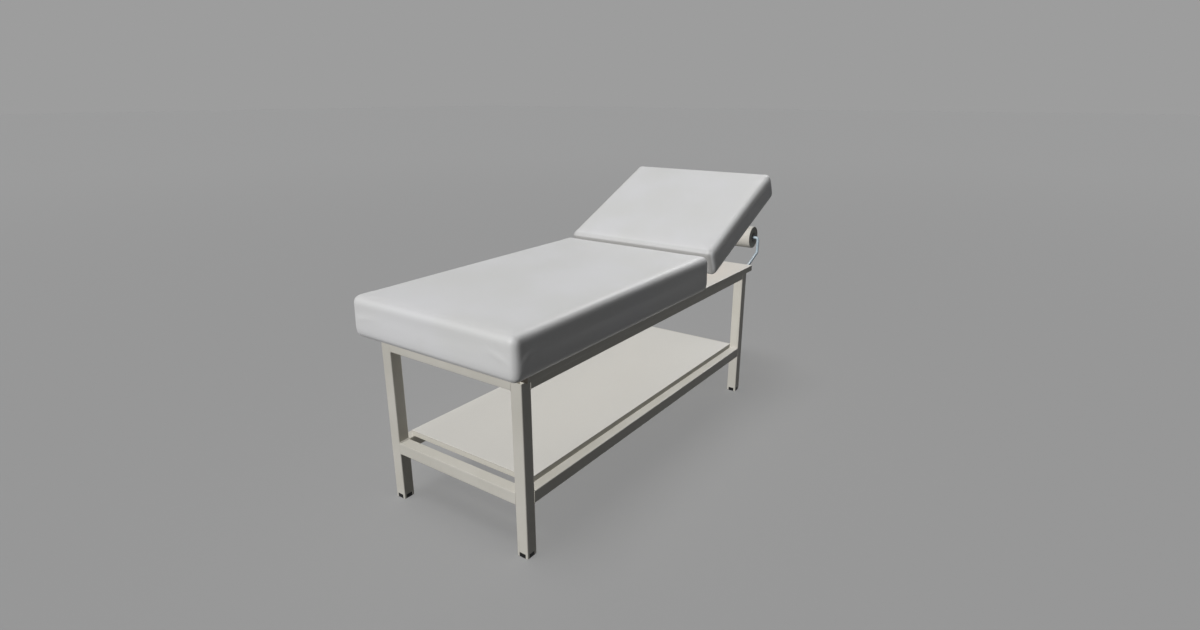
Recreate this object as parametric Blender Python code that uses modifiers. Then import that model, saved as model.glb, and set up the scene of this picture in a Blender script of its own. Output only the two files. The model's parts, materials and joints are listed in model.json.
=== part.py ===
"""Examination table: a square-tube frame with a shelf and a deck, a seat cushion, a backrest on strap
hinges held by a sliding prop, and a paper roll on a wire holder behind the head end.

Metres, +Z up. +X runs from the foot end to the head end, and the origin is on the floor under the
middle of the table. Inside the script x is counted from the foot end's outer leg faces.
"""
import math

import bmesh
import bpy
from mathutils import Matrix, Vector

# Gap between pieces that touch, and running gap round pins and rods
FIT = 0.0003
RUNNING = 0.0003

# Frame
FRAME_LENGTH = 1.524
FRAME_WIDTH = 0.600
LEG_TOP = 0.574
LEG_TUBE = 0.0414
TUBE_WALL = 0.002
TUBE_ROUND = 0.003
TOP_RAIL = 0.0292
LOWER_RAIL_TOP = 0.217
BEARER = 0.025
LEG_CLEAR = 0.001
NOTCH_WIDTH = 0.0245
NOTCH_HEIGHT = 0.015
GLIDE_TOP = 0.040
GLIDE_INSET = 0.0004
GLIDE_CHAMFER = 0.003

# Shelf and deck
SHELF_THICKNESS = 0.021
SHELF_WIDTH = 0.535
SHELF_LENGTH = 1.4033
SHELF_START = 0.0617
DECK_THICKNESS = 0.025
DECK_WIDTH = 0.6276
DECK_START = 0.012
DECK_OVERHANG = 0.0247
PANEL_ROUND = 0.002

# Cushions
CUSHION_WIDTH = 0.686
SEAT_LENGTH = 1.1235
SEAT_OVERHANG = 0.0675
SEAT_THICKNESS = 0.1387
BACK_LENGTH = 0.625
BACK_THICKNESS = 0.120
CUSHION_ROUND = 0.025
TOP_ROUND = 0.023
BOTTOM_ROUND = 0.030
CROWN = 0.004
DRAWN_IN = 0.003
BOARD_MARGIN = 0.043
SEAT_BOARD_THICKNESS = 0.015
BACK_BOARD_THICKNESS = 0.012
BATTEN_HEIGHT = 0.030
BATTEN_WIDTH = 0.024
HINGE_BATTEN_WIDTH = 0.060
BATTEN_ROUND = 0.002

# Backrest hinges
BACK_ANGLE = math.radians(24.0)
BACK_TOP_ANGLE = math.radians(30.0)
HINGE_FROM_SEAT = 0.005
HINGE_TO_BACK = 0.056
HINGE_INSET = 0.128
HINGE_PIN_RADIUS = 0.004
KNUCKLE_WALL = 0.0031
KNUCKLE_LONG = 0.028
KNUCKLE_SHORT = 0.020
KNUCKLE_GAP = 0.0005
LEAF_THICKNESS = 0.0035
LEAF_LENGTH = 0.046
STRAP_THICKNESS = 0.004
STRAP_WIDTH = 0.027
STRAP_END_MARGIN = 0.006

# Prop that holds the backrest
PROP_LENGTH = 0.225
PROP_INSET = 0.065
ARM_THICKNESS = 0.005
ARM_RADIUS = 0.010
PROP_PIN_RADIUS = 0.004
FOOT_ROD_RADIUS = 0.006
THREAD_RADIUS = 0.004
BRACKET_THICKNESS = 0.004
BRACKET_LENGTH = 0.036
BRACKET_FLANGE = 0.024
LUG_RADIUS = 0.009
GUIDE_OFFSET = 0.020
GUIDE_THICKNESS = 0.003
GUIDE_FLANGE = 0.018
GUIDE_EDGE = 0.005
GUIDE_END = 0.009
SLOT_SPARE = 0.002
KNOB_RADIUS = 0.0105
KNOB_LENGTH = 0.014
KNOB_LOBES = 7
KNOB_DIP = 0.0009
KNOB_RIM = 0.0008
HEAD_THICKNESS = 0.003
HEAD_STEP = 0.003

# Bumpers under the backrest
BUMPER_RADIUS = 0.010
BUMPER_FROM_HINGE = 0.440

# Paper roll and its holder
ROLL_LENGTH = 0.416
ROLL_RADIUS = 0.0515
ROLL_FROM_FRAME = 0.276
ROLL_HEIGHT = 0.672
CORE_RADIUS = 0.019
CORE_WALL = 0.0025
HUB_DEPTH = 0.022
HUB_FLANGE_RADIUS = 0.021
HUB_FLANGE = 0.003
WIRE_RADIUS = 0.0065
WIRE_BEND = 0.011
WIRE_LEAD = 0.016
WIRE_KNEE_DROP = 0.071
WIRE_CLEAR = 0.024
WIRE_START_DROP = 0.0164
WIRE_START_IN = 0.027
PLATE_WIDTH = 0.036
PLATE_HEIGHT = 0.056
PLATE_THICKNESS = 0.004
PLATE_DROP = 0.004
PLATE_HOLES = (0.55, 0.85)

# Screw holes, and the angle from which an edge is shaded sharp
SCREW_HOLE_RADIUS = 0.0018
SHARP_ANGLE = math.radians(35)

# Places that follow from the sizes above
DECK_BOTTOM = LEG_TOP + FIT
DECK_TOP = DECK_BOTTOM + DECK_THICKNESS
DECK_END = FRAME_LENGTH + DECK_OVERHANG
SEAT_BOTTOM = DECK_TOP + FIT
SEAT_TOP = SEAT_BOTTOM + SEAT_THICKNESS
SEAT_END = SEAT_LENGTH - SEAT_OVERHANG
KNUCKLE_RADIUS = HINGE_PIN_RADIUS + RUNNING + KNUCKLE_WALL
HINGE_RISE = FIT + LEAF_THICKNESS + KNUCKLE_GAP + KNUCKLE_RADIUS
HINGE_X = SEAT_END + HINGE_FROM_SEAT
HINGE_SPACING = CUSHION_WIDTH - 2 * HINGE_INSET
PROP_SPACING = HINGE_SPACING - 2 * PROP_INSET
HINGE_Z = DECK_TOP + HINGE_RISE
BACK_TOP = SEAT_TOP - HINGE_Z
BACK_BOTTOM = BACK_TOP - BACK_THICKNESS
STRAP_TOP = BACK_BOTTOM - FIT
BACK_END = HINGE_TO_BACK + BACK_LENGTH
BOARD_START = HINGE_TO_BACK + BOARD_MARGIN
BOARD_END = BACK_END - BOARD_MARGIN
BOARD_HALF_WIDTH = CUSHION_WIDTH / 2 - BOARD_MARGIN
BOARD_BOTTOM = BACK_BOTTOM + BATTEN_HEIGHT + FIT
ARM_Y = PROP_SPACING / 2
GUIDE_Y = ARM_Y + ARM_THICKNESS / 2 + GUIDE_OFFSET + GUIDE_THICKNESS / 2
GUIDE_HEIGHT = HINGE_RISE + FOOT_ROD_RADIUS + SLOT_SPARE / 2 + GUIDE_EDGE
ROLL_X = FRAME_LENGTH + ROLL_FROM_FRAME
TABLE_MIDDLE = (ROLL_X + ROLL_RADIUS - SEAT_OVERHANG) / 2

SIDES = (("right", -1), ("left", 1))
ENDS = (("foot", 0.0, 1), ("head", FRAME_LENGTH, -1))


def clear_scene():
    for obj in list(bpy.data.objects):
        bpy.data.objects.remove(obj, do_unlink=True)


def new_collection(name):
    made = bpy.data.collections.new(name)
    bpy.context.scene.collection.children.link(made)
    return made


def new_material(name, colour, roughness, metallic=0.0):
    made = bpy.data.materials.new(name)
    made.use_nodes = True
    shader = made.node_tree.nodes["Principled BSDF"]
    shader.inputs["Base Color"].default_value = (*colour, 1.0)
    shader.inputs["Roughness"].default_value = roughness
    shader.inputs["Metallic"].default_value = metallic
    made.diffuse_color = (*colour, 1.0)
    return made


clear_scene()
TABLE = new_collection("examination_table")
CUTTERS = new_collection("cutters")
CREAM = new_material("cream_paint", (0.66, 0.63, 0.57), 0.42)
LAMINATE = new_material("cream_laminate", (0.68, 0.65, 0.60), 0.48)
VINYL = new_material("grey_vinyl", (0.66, 0.66, 0.66), 0.38)
WOOD = new_material("plywood", (0.52, 0.37, 0.22), 0.65)
STEEL = new_material("zinc_steel", (0.60, 0.62, 0.64), 0.35, 1.0)
WIRE = new_material("blue_grey_wire", (0.42, 0.53, 0.60), 0.35, 0.3)
BLACK = new_material("black_plastic", (0.012, 0.012, 0.012), 0.5)
RUBBER = new_material("black_rubber", (0.02, 0.02, 0.02), 0.8)
PAPER = new_material("white_paper", (0.74, 0.72, 0.67), 0.85)
CARD = new_material("brown_card", (0.36, 0.25, 0.15), 0.85)


def empty(name, place, parent=None, turn_y=0.0):
    """An empty that carries the pieces of one moving body, on that body's axis."""
    made = bpy.data.objects.new(name, None)
    made.location = place
    made.rotation_euler = (0.0, turn_y, 0.0)
    made.parent = parent
    TABLE.objects.link(made)
    return made


ROOT = empty("table_root", (-TABLE_MIDDLE, 0.0, 0.0))
BACK_AXIS = empty("backrest_axis", (HINGE_X, 0.0, HINGE_Z), ROOT, -BACK_ANGLE)
PROP_AXIS = empty("prop_axis", (PROP_LENGTH, 0.0, 0.0), BACK_AXIS, 2 * BACK_ANGLE)
FOOT_AXIS = empty("prop_foot_axis", (PROP_LENGTH, 0.0, 0.0), PROP_AXIS)
ROLL_AXIS = empty("roll_axis", (ROLL_X, 0.0, ROLL_HEIGHT), ROOT)


def add_piece(name, mesh, material, parent):
    """One named piece of the table, carried by the empty of its body."""
    made = bpy.data.objects.new(name, mesh)
    mesh.materials.clear()
    mesh.materials.append(material)
    made.parent = parent
    TABLE.objects.link(made)
    return made


def make_cutter(mesh, parent):
    made = bpy.data.objects.new("cutter", mesh)
    made.parent = parent
    made.hide_render = True
    made.display_type = 'WIRE'
    CUTTERS.objects.link(made)
    return made


def combine(obj, mesh, operation):
    """Cut a mesh out of a piece, or fuse it on, in the piece's own frame."""
    step = obj.modifiers.new(operation.lower(), 'BOOLEAN')
    step.operation = operation
    step.solver = 'EXACT'
    step.object = make_cutter(mesh, obj.parent)


def mesh_from(bm, name="shape"):
    mesh = bpy.data.meshes.new(name)
    bm.to_mesh(mesh)
    bm.free()
    return mesh


def smooth_shaded(mesh):
    mesh.shade_smooth()
    mesh.set_sharp_from_angle(angle=SHARP_ANGLE)
    return mesh


def box_mesh(low, high, rounding=0.0):
    """A box between two corners, with its edges rounded."""
    low, high = Vector(low), Vector(high)
    bm = bmesh.new()
    bmesh.ops.create_cube(bm, size=1.0)
    bmesh.ops.scale(bm, vec=high - low, verts=bm.verts)
    bmesh.ops.translate(bm, vec=(low + high) / 2, verts=bm.verts)
    if rounding:
        bmesh.ops.bevel(bm, geom=bm.edges, offset=rounding, segments=2, profile=0.5,
                        affect='EDGES', material=-1)
    return mesh_from(bm)


def arc(centre, radius, start, end, steps):
    """Points on an arc in a plane, from one angle to another, both included."""
    angles = (start + (end - start) * i / steps for i in range(steps + 1))
    return [(centre[0] + radius * math.cos(a), centre[1] + radius * math.sin(a)) for a in angles]


def circle(centre, radius, steps=16):
    return arc(centre, radius, 0.0, 2 * math.pi * (steps - 1) / steps, steps - 1)


def rounded_rectangle(low, high, radius, steps=2):
    quarter = math.pi / 2
    corners = ((high[0] - radius, high[1] - radius), (low[0] + radius, high[1] - radius),
               (low[0] + radius, low[1] + radius), (high[0] - radius, low[1] + radius))
    points = []
    for turn, corner in enumerate(corners):
        points += arc(corner, radius, turn * quarter, (turn + 1) * quarter, steps)
    return points


def stadium(start, end, radius, steps=8):
    """The outline of a bar with round ends, along the first axis."""
    half = math.pi / 2
    return arc(end, radius, -half, half, steps) + arc(start, radius, half, 3 * half, steps)


def plate_mesh(loops, low, high, turn=Matrix()):
    """A flat outline with holes, given its thickness from low to high along Z, then turned."""
    curve = bpy.data.curves.new("outline", 'CURVE')
    curve.dimensions = '2D'
    curve.fill_mode = 'BOTH'
    curve.extrude = (high - low) / 2
    for loop in loops:
        spline = curve.splines.new('POLY')
        spline.points.add(len(loop) - 1)
        for point, (u, v) in zip(spline.points, loop):
            point.co = (u, v, 0.0, 1.0)
        spline.use_cyclic_u = True
    drawn = bpy.data.objects.new("outline", curve)
    TABLE.objects.link(drawn)
    graph = bpy.context.evaluated_depsgraph_get()
    mesh = bpy.data.meshes.new_from_object(drawn.evaluated_get(graph))
    bpy.data.objects.remove(drawn)
    bpy.data.curves.remove(curve)
    bm = bmesh.new()
    bm.from_mesh(mesh)
    bmesh.ops.remove_doubles(bm, verts=bm.verts, dist=1e-6)
    bmesh.ops.translate(bm, vec=(0.0, 0.0, (low + high) / 2), verts=bm.verts)
    bmesh.ops.transform(bm, matrix=turn, verts=bm.verts)
    bm.to_mesh(mesh)
    bm.free()
    return mesh


# Turns that stand a flat outline up: outline x and y become the two named axes
ALONG_X = Matrix(((0, 0, 1, 0), (1, 0, 0, 0), (0, 1, 0, 0), (0, 0, 0, 1)))
ALONG_Y = Matrix(((1, 0, 0, 0), (0, 0, -1, 0), (0, 1, 0, 0), (0, 0, 0, 1)))


def across(low, high):
    """A span on Y, as a span along the outline's own thickness."""
    return -high, -low


def tube_loops(low, high):
    inner_low = [v + TUBE_WALL for v in low]
    inner_high = [v - TUBE_WALL for v in high]
    inner_round = max(TUBE_ROUND - TUBE_WALL, TUBE_WALL / 4)
    return [rounded_rectangle(low, high, TUBE_ROUND), rounded_rectangle(inner_low, inner_high, inner_round)]


def turned_mesh(profile, steps, turn=Matrix()):
    """A turned solid: a profile of radius and height, top to bottom, spun about Z."""
    bm = bmesh.new()
    line = [bm.verts.new((radius, 0.0, height)) for radius, height in profile]
    for a, b in zip(line, line[1:]):
        bm.edges.new((a, b))
    bmesh.ops.spin(bm, geom=bm.verts[:] + bm.edges[:], cent=(0, 0, 0), axis=(0, 0, 1),
                   angle=2 * math.pi, steps=steps, use_merge=True)
    bmesh.ops.remove_doubles(bm, verts=bm.verts, dist=1e-6)
    bmesh.ops.recalc_face_normals(bm, faces=bm.faces)
    bmesh.ops.transform(bm, matrix=turn, verts=bm.verts)
    return smooth_shaded(mesh_from(bm))


def tube_mesh(low, high, axis):
    """Square tube between two corners, open at both ends, along X, Y or Z."""
    if axis == 'Z':
        return plate_mesh(tube_loops(low[:2], high[:2]), low[2], high[2])
    if axis == 'X':
        return plate_mesh(tube_loops(low[1:], high[1:]), low[0], high[0], ALONG_X)
    loops = tube_loops((low[0], low[2]), (high[0], high[2]))
    return plate_mesh(loops, *across(low[1], high[1]), ALONG_Y)


def wire_piece(name, points, radius, material, parent):
    """A bent rod: a curve through straight runs and rounded corners."""
    curve = bpy.data.curves.new(name, 'CURVE')
    curve.dimensions = '3D'
    curve.bevel_depth = radius
    curve.bevel_resolution = 6
    curve.use_fill_caps = True
    spline = curve.splines.new('POLY')
    spline.points.add(len(points) - 1)
    for point, place in zip(spline.points, points):
        point.co = (*place, 1.0)
    curve.materials.append(material)
    made = bpy.data.objects.new(name, curve)
    made.parent = parent
    TABLE.objects.link(made)
    return made


def bent_path(corners, radius, steps=5):
    """A route through the corners, with each inner corner rounded to the bend radius."""
    corners = [Vector(c) for c in corners]
    path = [corners[0]]
    for before, corner, after in zip(corners, corners[1:], corners[2:]):
        back, ahead = (before - corner).normalized(), (after - corner).normalized()
        half = back.angle(ahead) / 2
        middle = corner + (back + ahead).normalized() * radius / math.sin(half)
        start = corner + back * radius / math.tan(half) - middle
        sweep = math.pi - 2 * half
        axis = back.cross(ahead)
        turns = (Matrix.Rotation(-sweep * i / steps, 3, axis) for i in range(steps + 1))
        path += [middle + turn @ start for turn in turns]
    return path + [corners[-1]]


def drill_mesh(places, direction, depth):
    """Screw holes at the given places, through the surface that the direction leaves."""
    turn = Vector((0, 0, 1)).rotation_difference(Vector(direction)).to_matrix().to_4x4()
    radius = SCREW_HOLE_RADIUS
    profile = [(0.0, depth), (radius, depth), (radius, -depth), (0.0, -depth)]
    bm = bmesh.new()
    for place in places:
        bm.from_mesh(turned_mesh(profile, 8, Matrix.Translation(place) @ turn))
    return mesh_from(bm)


def spread(low, high, count):
    return [low + (high - low) * i / (count - 1) for i in range(count)]


def cushion_mesh(low, high):
    """A stuffed box: rounded edges, a crowned top, and sides drawn in between the corners."""
    low, high = Vector(low), Vector(high)
    half, middle = (high - low) / 2, (low + high) / 2
    bm = bmesh.new()
    bmesh.ops.create_cube(bm, size=1.0)
    bmesh.ops.scale(bm, vec=high - low, verts=bm.verts)
    cuts = [[], [], []]
    step = math.tan(math.pi / 8)
    for axis, count in ((0, 8), (1, 6)):
        edge = half[axis] - CUSHION_ROUND
        cuts[axis] = spread(-edge, edge, count + 1)
        cuts[axis] += [edge + CUSHION_ROUND * step, -edge - CUSHION_ROUND * step]
    upper, lower = half.z - TOP_ROUND, -half.z + BOTTOM_ROUND
    cuts[2] = [upper, upper + TOP_ROUND * step, (upper + lower) / 2, lower, lower - BOTTOM_ROUND * step]
    for axis, places in enumerate(cuts):
        normal = Vector((axis == 0, axis == 1, axis == 2))
        for place in places:
            bmesh.ops.bisect_plane(bm, geom=bm.verts[:] + bm.edges[:] + bm.faces[:], dist=1e-6,
                                   plane_co=normal * place, plane_no=normal)
    for vert in bm.verts:
        vertical = TOP_ROUND if vert.co.z > 0 else BOTTOM_ROUND
        reach = Vector((CUSHION_ROUND, CUSHION_ROUND, vertical))
        core = Vector(max(-b, min(b, c)) for c, b in zip(vert.co, half - reach))
        lean = Vector((c - k) / r for c, k, r in zip(vert.co, core, reach))
        if lean.length:
            lean.normalize()
        place = core + Vector(n * r for n, r in zip(lean, reach))
        along = 1 - (place.x / half.x) ** 2
        wide = 1 - (place.y / half.y) ** 2
        tall = 1 - (place.z / half.z) ** 2
        place.x -= DRAWN_IN * tall * wide * place.x / half.x
        place.y -= DRAWN_IN * tall * along * place.y / half.y
        if vert.co.z > 0:
            place.z += CROWN * max(along, 0.0) * max(wide, 0.0)
        vert.co = place + middle
    mesh = mesh_from(bm)
    mesh.shade_smooth()
    return mesh


def build_frame():
    half = FRAME_WIDTH / 2
    for end, x, inward in ENDS:
        for side, sign in SIDES:
            xs = sorted((x, x + inward * LEG_TUBE))
            ys = sorted((sign * half, sign * (half - LEG_TUBE)))
            tube = tube_mesh((xs[0], ys[0], LEG_CLEAR), (xs[1], ys[1], LEG_TOP), 'Z')
            leg = add_piece(f"leg_{end}_{side}", tube, CREAM, ROOT)
            middle = Vector((sum(xs) / 2, sum(ys) / 2, 0.0))
            for long in (Vector((LEG_TUBE, NOTCH_WIDTH / 2, 0)), Vector((NOTCH_WIDTH / 2, LEG_TUBE, 0))):
                high = middle + long + Vector((0, 0, NOTCH_HEIGHT))
                combine(leg, box_mesh(middle - long - Vector((0, 0, NOTCH_HEIGHT)), high), 'DIFFERENCE')
            glide = add_piece(f"glide_{end}_{side}", glide_mesh(middle), BLACK, ROOT)
            stem = Vector((1, 1, 0)) * (LEG_TUBE / 2 - TUBE_WALL - 2 * FIT)
            outline = rounded_rectangle((middle - stem).xy, (middle + stem).xy, GLIDE_CHAMFER)
            combine(glide, plate_mesh([outline], NOTCH_HEIGHT / 2, GLIDE_TOP), 'UNION')
    build_rails("top_rail", TOP_RAIL, LEG_TOP)
    build_rails("lower_rail", LEG_TUBE, LOWER_RAIL_TOP)
    build_bearers()


def glide_mesh(middle):
    """A snap-in foot: a plug inside the tube, with a pad that fills the notch of each face."""
    plug, pad = LEG_TUBE / 2 - TUBE_WALL - FIT, LEG_TUBE / 2 - GLIDE_INSET
    wide, cut = NOTCH_WIDTH / 2 - FIT, plug - GLIDE_CHAMFER
    side = [(plug, -wide), (pad, -wide), (pad, wide), (plug, wide), (plug, cut), (cut, plug)]
    turns = [Matrix.Rotation(turn * math.pi / 2, 2) for turn in range(4)]
    outline = [middle.xy + turn @ Vector(point) for turn in turns for point in side]
    bm = bmesh.new()
    sole = bm.faces.new([bm.verts.new((*point, 0.0)) for point in outline])
    raised = bmesh.ops.extrude_face_region(bm, geom=[sole])["geom"]
    top = [part for part in raised if isinstance(part, bmesh.types.BMVert)]
    bmesh.ops.translate(bm, vec=(0.0, 0.0, NOTCH_HEIGHT - FIT), verts=top)
    bmesh.ops.recalc_face_normals(bm, faces=bm.faces)
    return mesh_from(bm)


def build_rails(name, section, top):
    """Four rails between the legs, flush with the legs' outer faces."""
    half = FRAME_WIDTH / 2
    start, end = LEG_TUBE + FIT, FRAME_LENGTH - LEG_TUBE - FIT
    for side, sign in SIDES:
        ys = sorted((sign * half, sign * (half - section)))
        rail = tube_mesh((start, ys[0], top - section), (end, ys[1], top), 'X')
        add_piece(f"{name}_{side}", rail, CREAM, ROOT)
    reach = half - LEG_TUBE - FIT
    for end, x, inward in ENDS:
        xs = sorted((x, x + inward * section))
        rail = tube_mesh((xs[0], -reach, top - section), (xs[1], reach, top), 'Y')
        add_piece(f"{name}_{end}", rail, CREAM, ROOT)


def build_bearers():
    """Cross tubes: one under the deck at the hinges, two under the shelf."""
    reach = FRAME_WIDTH / 2 - TOP_RAIL - FIT
    bearer = tube_mesh((HINGE_X - TOP_RAIL / 2, -reach, LEG_TOP - TOP_RAIL),
                       (HINGE_X + TOP_RAIL / 2, reach, LEG_TOP), 'Y')
    add_piece("deck_bearer", bearer, CREAM, ROOT)
    reach = FRAME_WIDTH / 2 - LEG_TUBE - FIT
    for (end, _, _), x in zip(ENDS, shelf_bearer_places()):
        bearer = tube_mesh((x - BEARER / 2, -reach, LOWER_RAIL_TOP - BEARER),
                           (x + BEARER / 2, reach, LOWER_RAIL_TOP), 'Y')
        add_piece(f"shelf_bearer_{end}", bearer, CREAM, ROOT)


def shelf_bearer_places():
    return [SHELF_START + SHELF_LENGTH * share for share in (0.25, 0.75)]


def build_panels():
    bottom = LOWER_RAIL_TOP + FIT
    low = (SHELF_START, -SHELF_WIDTH / 2, bottom)
    high = (SHELF_START + SHELF_LENGTH, SHELF_WIDTH / 2, bottom + SHELF_THICKNESS)
    add_piece("shelf_panel", box_mesh(low, high, PANEL_ROUND), LAMINATE, ROOT)
    low = (DECK_START, -DECK_WIDTH / 2, DECK_BOTTOM)
    high = (DECK_END, DECK_WIDTH / 2, DECK_TOP)
    add_piece("deck_panel", box_mesh(low, high, PANEL_ROUND), LAMINATE, ROOT)


def build_seat():
    half = CUSHION_WIDTH / 2
    low, high = (-SEAT_OVERHANG, -half, SEAT_BOTTOM), (SEAT_END, half, SEAT_TOP)
    cushion = add_piece("seat_cushion", cushion_mesh(low, high), VINYL, ROOT)
    start, end = BOARD_MARGIN - SEAT_OVERHANG, SEAT_END - BOARD_MARGIN
    board_top = SEAT_BOTTOM + SEAT_BOARD_THICKNESS
    wide = BOARD_HALF_WIDTH
    board = box_mesh((start, -wide, SEAT_BOTTOM), (end, wide, board_top), BATTEN_ROUND)
    add_piece("seat_board", board, WOOD, ROOT)
    below = SEAT_BOTTOM - SEAT_BOARD_THICKNESS
    pocket = box_mesh((start - FIT, -wide - FIT, below), (end + FIT, wide + FIT, board_top + FIT))
    combine(cushion, pocket, 'DIFFERENCE')


def build_backrest():
    """Cushion, board and battens, drawn flat with the hinge axis at the origin."""
    half = CUSHION_WIDTH / 2
    shape = cushion_mesh((HINGE_TO_BACK, -half, BACK_BOTTOM), (BACK_END, half, BACK_TOP))
    cushion = add_piece("back_cushion", shape, VINYL, BACK_AXIS)
    board_top = BOARD_BOTTOM + BACK_BOARD_THICKNESS
    wide = BOARD_HALF_WIDTH
    board = box_mesh((BOARD_START, -wide, BOARD_BOTTOM), (BOARD_END, wide, board_top), BATTEN_ROUND)
    add_piece("back_board", board, WOOD, BACK_AXIS)
    pocket = box_mesh((BOARD_START - FIT, -wide - FIT, BACK_BOTTOM - BATTEN_HEIGHT),
                      (BOARD_END + FIT, wide + FIT, board_top + FIT))
    combine(cushion, pocket, 'DIFFERENCE')
    inner_start, inner_end = BOARD_START + HINGE_BATTEN_WIDTH + FIT, BOARD_END - BATTEN_WIDTH - FIT
    top = BACK_BOTTOM + BATTEN_HEIGHT
    battens = {"hinge": ((BOARD_START, -wide), (inner_start - FIT, wide)),
               "head": ((inner_end + FIT, -wide), (BOARD_END, wide)),
               "right": ((inner_start, -wide), (inner_end, BATTEN_WIDTH - wide)),
               "left": ((inner_start, wide - BATTEN_WIDTH), (inner_end, wide))}
    for place, (low, high) in battens.items():
        batten = box_mesh((*low, BACK_BOTTOM), (*high, top), BATTEN_ROUND)
        add_piece(f"back_batten_{place}", batten, WOOD, BACK_AXIS)
    stop = HINGE_RISE - FIT
    profile = [(0.0, BACK_BOTTOM - FIT), (BUMPER_RADIUS, BACK_BOTTOM - FIT), (BUMPER_RADIUS, -stop / 2),
               (BUMPER_RADIUS * 0.7, -stop), (0.0, -stop)]
    for side, sign in SIDES:
        bumper = add_piece(f"back_bumper_{side}", turned_mesh(profile, 16), RUBBER, BACK_AXIS)
        bumper.location = (BUMPER_FROM_HINGE, sign * (wide - BATTEN_WIDTH / 2), 0.0)


def knuckle_mesh(low, high):
    loops = [circle((0, 0), KNUCKLE_RADIUS), circle((0, 0), HINGE_PIN_RADIUS + RUNNING)]
    return plate_mesh(loops, *across(low, high), ALONG_Y)


def build_hinges():
    """Strap hinges: the deck leaf has two knuckles, and the backrest's strap has the one between them."""
    leaf_bottom = FIT - HINGE_RISE
    leaf_top = leaf_bottom + LEAF_THICKNESS
    half = KNUCKLE_LONG / 2 + KNUCKLE_GAP + KNUCKLE_SHORT
    strap_end = BOARD_START + HINGE_BATTEN_WIDTH - STRAP_END_MARGIN
    for side, sign in SIDES:
        y = sign * HINGE_SPACING / 2
        leaf_base = empty(f"hinge_place_{side}", (HINGE_X, y, HINGE_Z), ROOT)
        shape = box_mesh((-KNUCKLE_RADIUS, -half, leaf_bottom), (LEAF_LENGTH, half, leaf_top))
        leaf = add_piece(f"hinge_leaf_{side}", shape, STEEL, leaf_base)
        for low, high in ((-half, -half + KNUCKLE_SHORT), (half - KNUCKLE_SHORT, half)):
            saddle = box_mesh((-KNUCKLE_RADIUS / 2, low, leaf_top - LEAF_THICKNESS / 2),
                              (KNUCKLE_RADIUS / 2, high, -HINGE_PIN_RADIUS - KNUCKLE_WALL / 2))
            combine(leaf, saddle, 'UNION')
            combine(leaf, knuckle_mesh(low, high), 'UNION')
        places = [(LEAF_LENGTH * share, across_y * half, leaf_top + FIT)
                  for share in (0.45, 0.82) for across_y in (-0.7, 0.7)]
        combine(leaf, drill_mesh(places, (0, 0, 1), LEAF_THICKNESS * 2), 'DIFFERENCE')
        strap_base = empty(f"strap_place_{side}", (0.0, y, 0.0), BACK_AXIS)
        outline = rounded_rectangle((HINGE_PIN_RADIUS + KNUCKLE_WALL / 2, -STRAP_WIDTH / 2),
                                    (strap_end, STRAP_WIDTH / 2), KNUCKLE_WALL / 2)
        shape = plate_mesh([outline], STRAP_TOP - STRAP_THICKNESS, STRAP_TOP)
        strap = add_piece(f"hinge_strap_{side}", shape, STEEL, strap_base)
        combine(strap, knuckle_mesh(-KNUCKLE_LONG / 2, KNUCKLE_LONG / 2), 'UNION')
        places = [(BOARD_START + HINGE_BATTEN_WIDTH * share, 0.0, STRAP_TOP - STRAP_THICKNESS - FIT)
                  for share in (0.2, 0.5, 0.8)]
        combine(strap, drill_mesh(places, (0, 0, -1), STRAP_THICKNESS * 2), 'DIFFERENCE')
        reach = half + HEAD_THICKNESS / 2
        head = HINGE_PIN_RADIUS + KNUCKLE_WALL / 2
        profile = [(0.0, reach + HEAD_THICKNESS), (head, reach + HEAD_THICKNESS), (head, half + FIT),
                   (HINGE_PIN_RADIUS, half + FIT), (HINGE_PIN_RADIUS, -reach), (0.0, -reach)]
        add_piece(f"hinge_pin_{side}", turned_mesh(profile, 16, ALONG_Y), STEEL, leaf_base)


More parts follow.
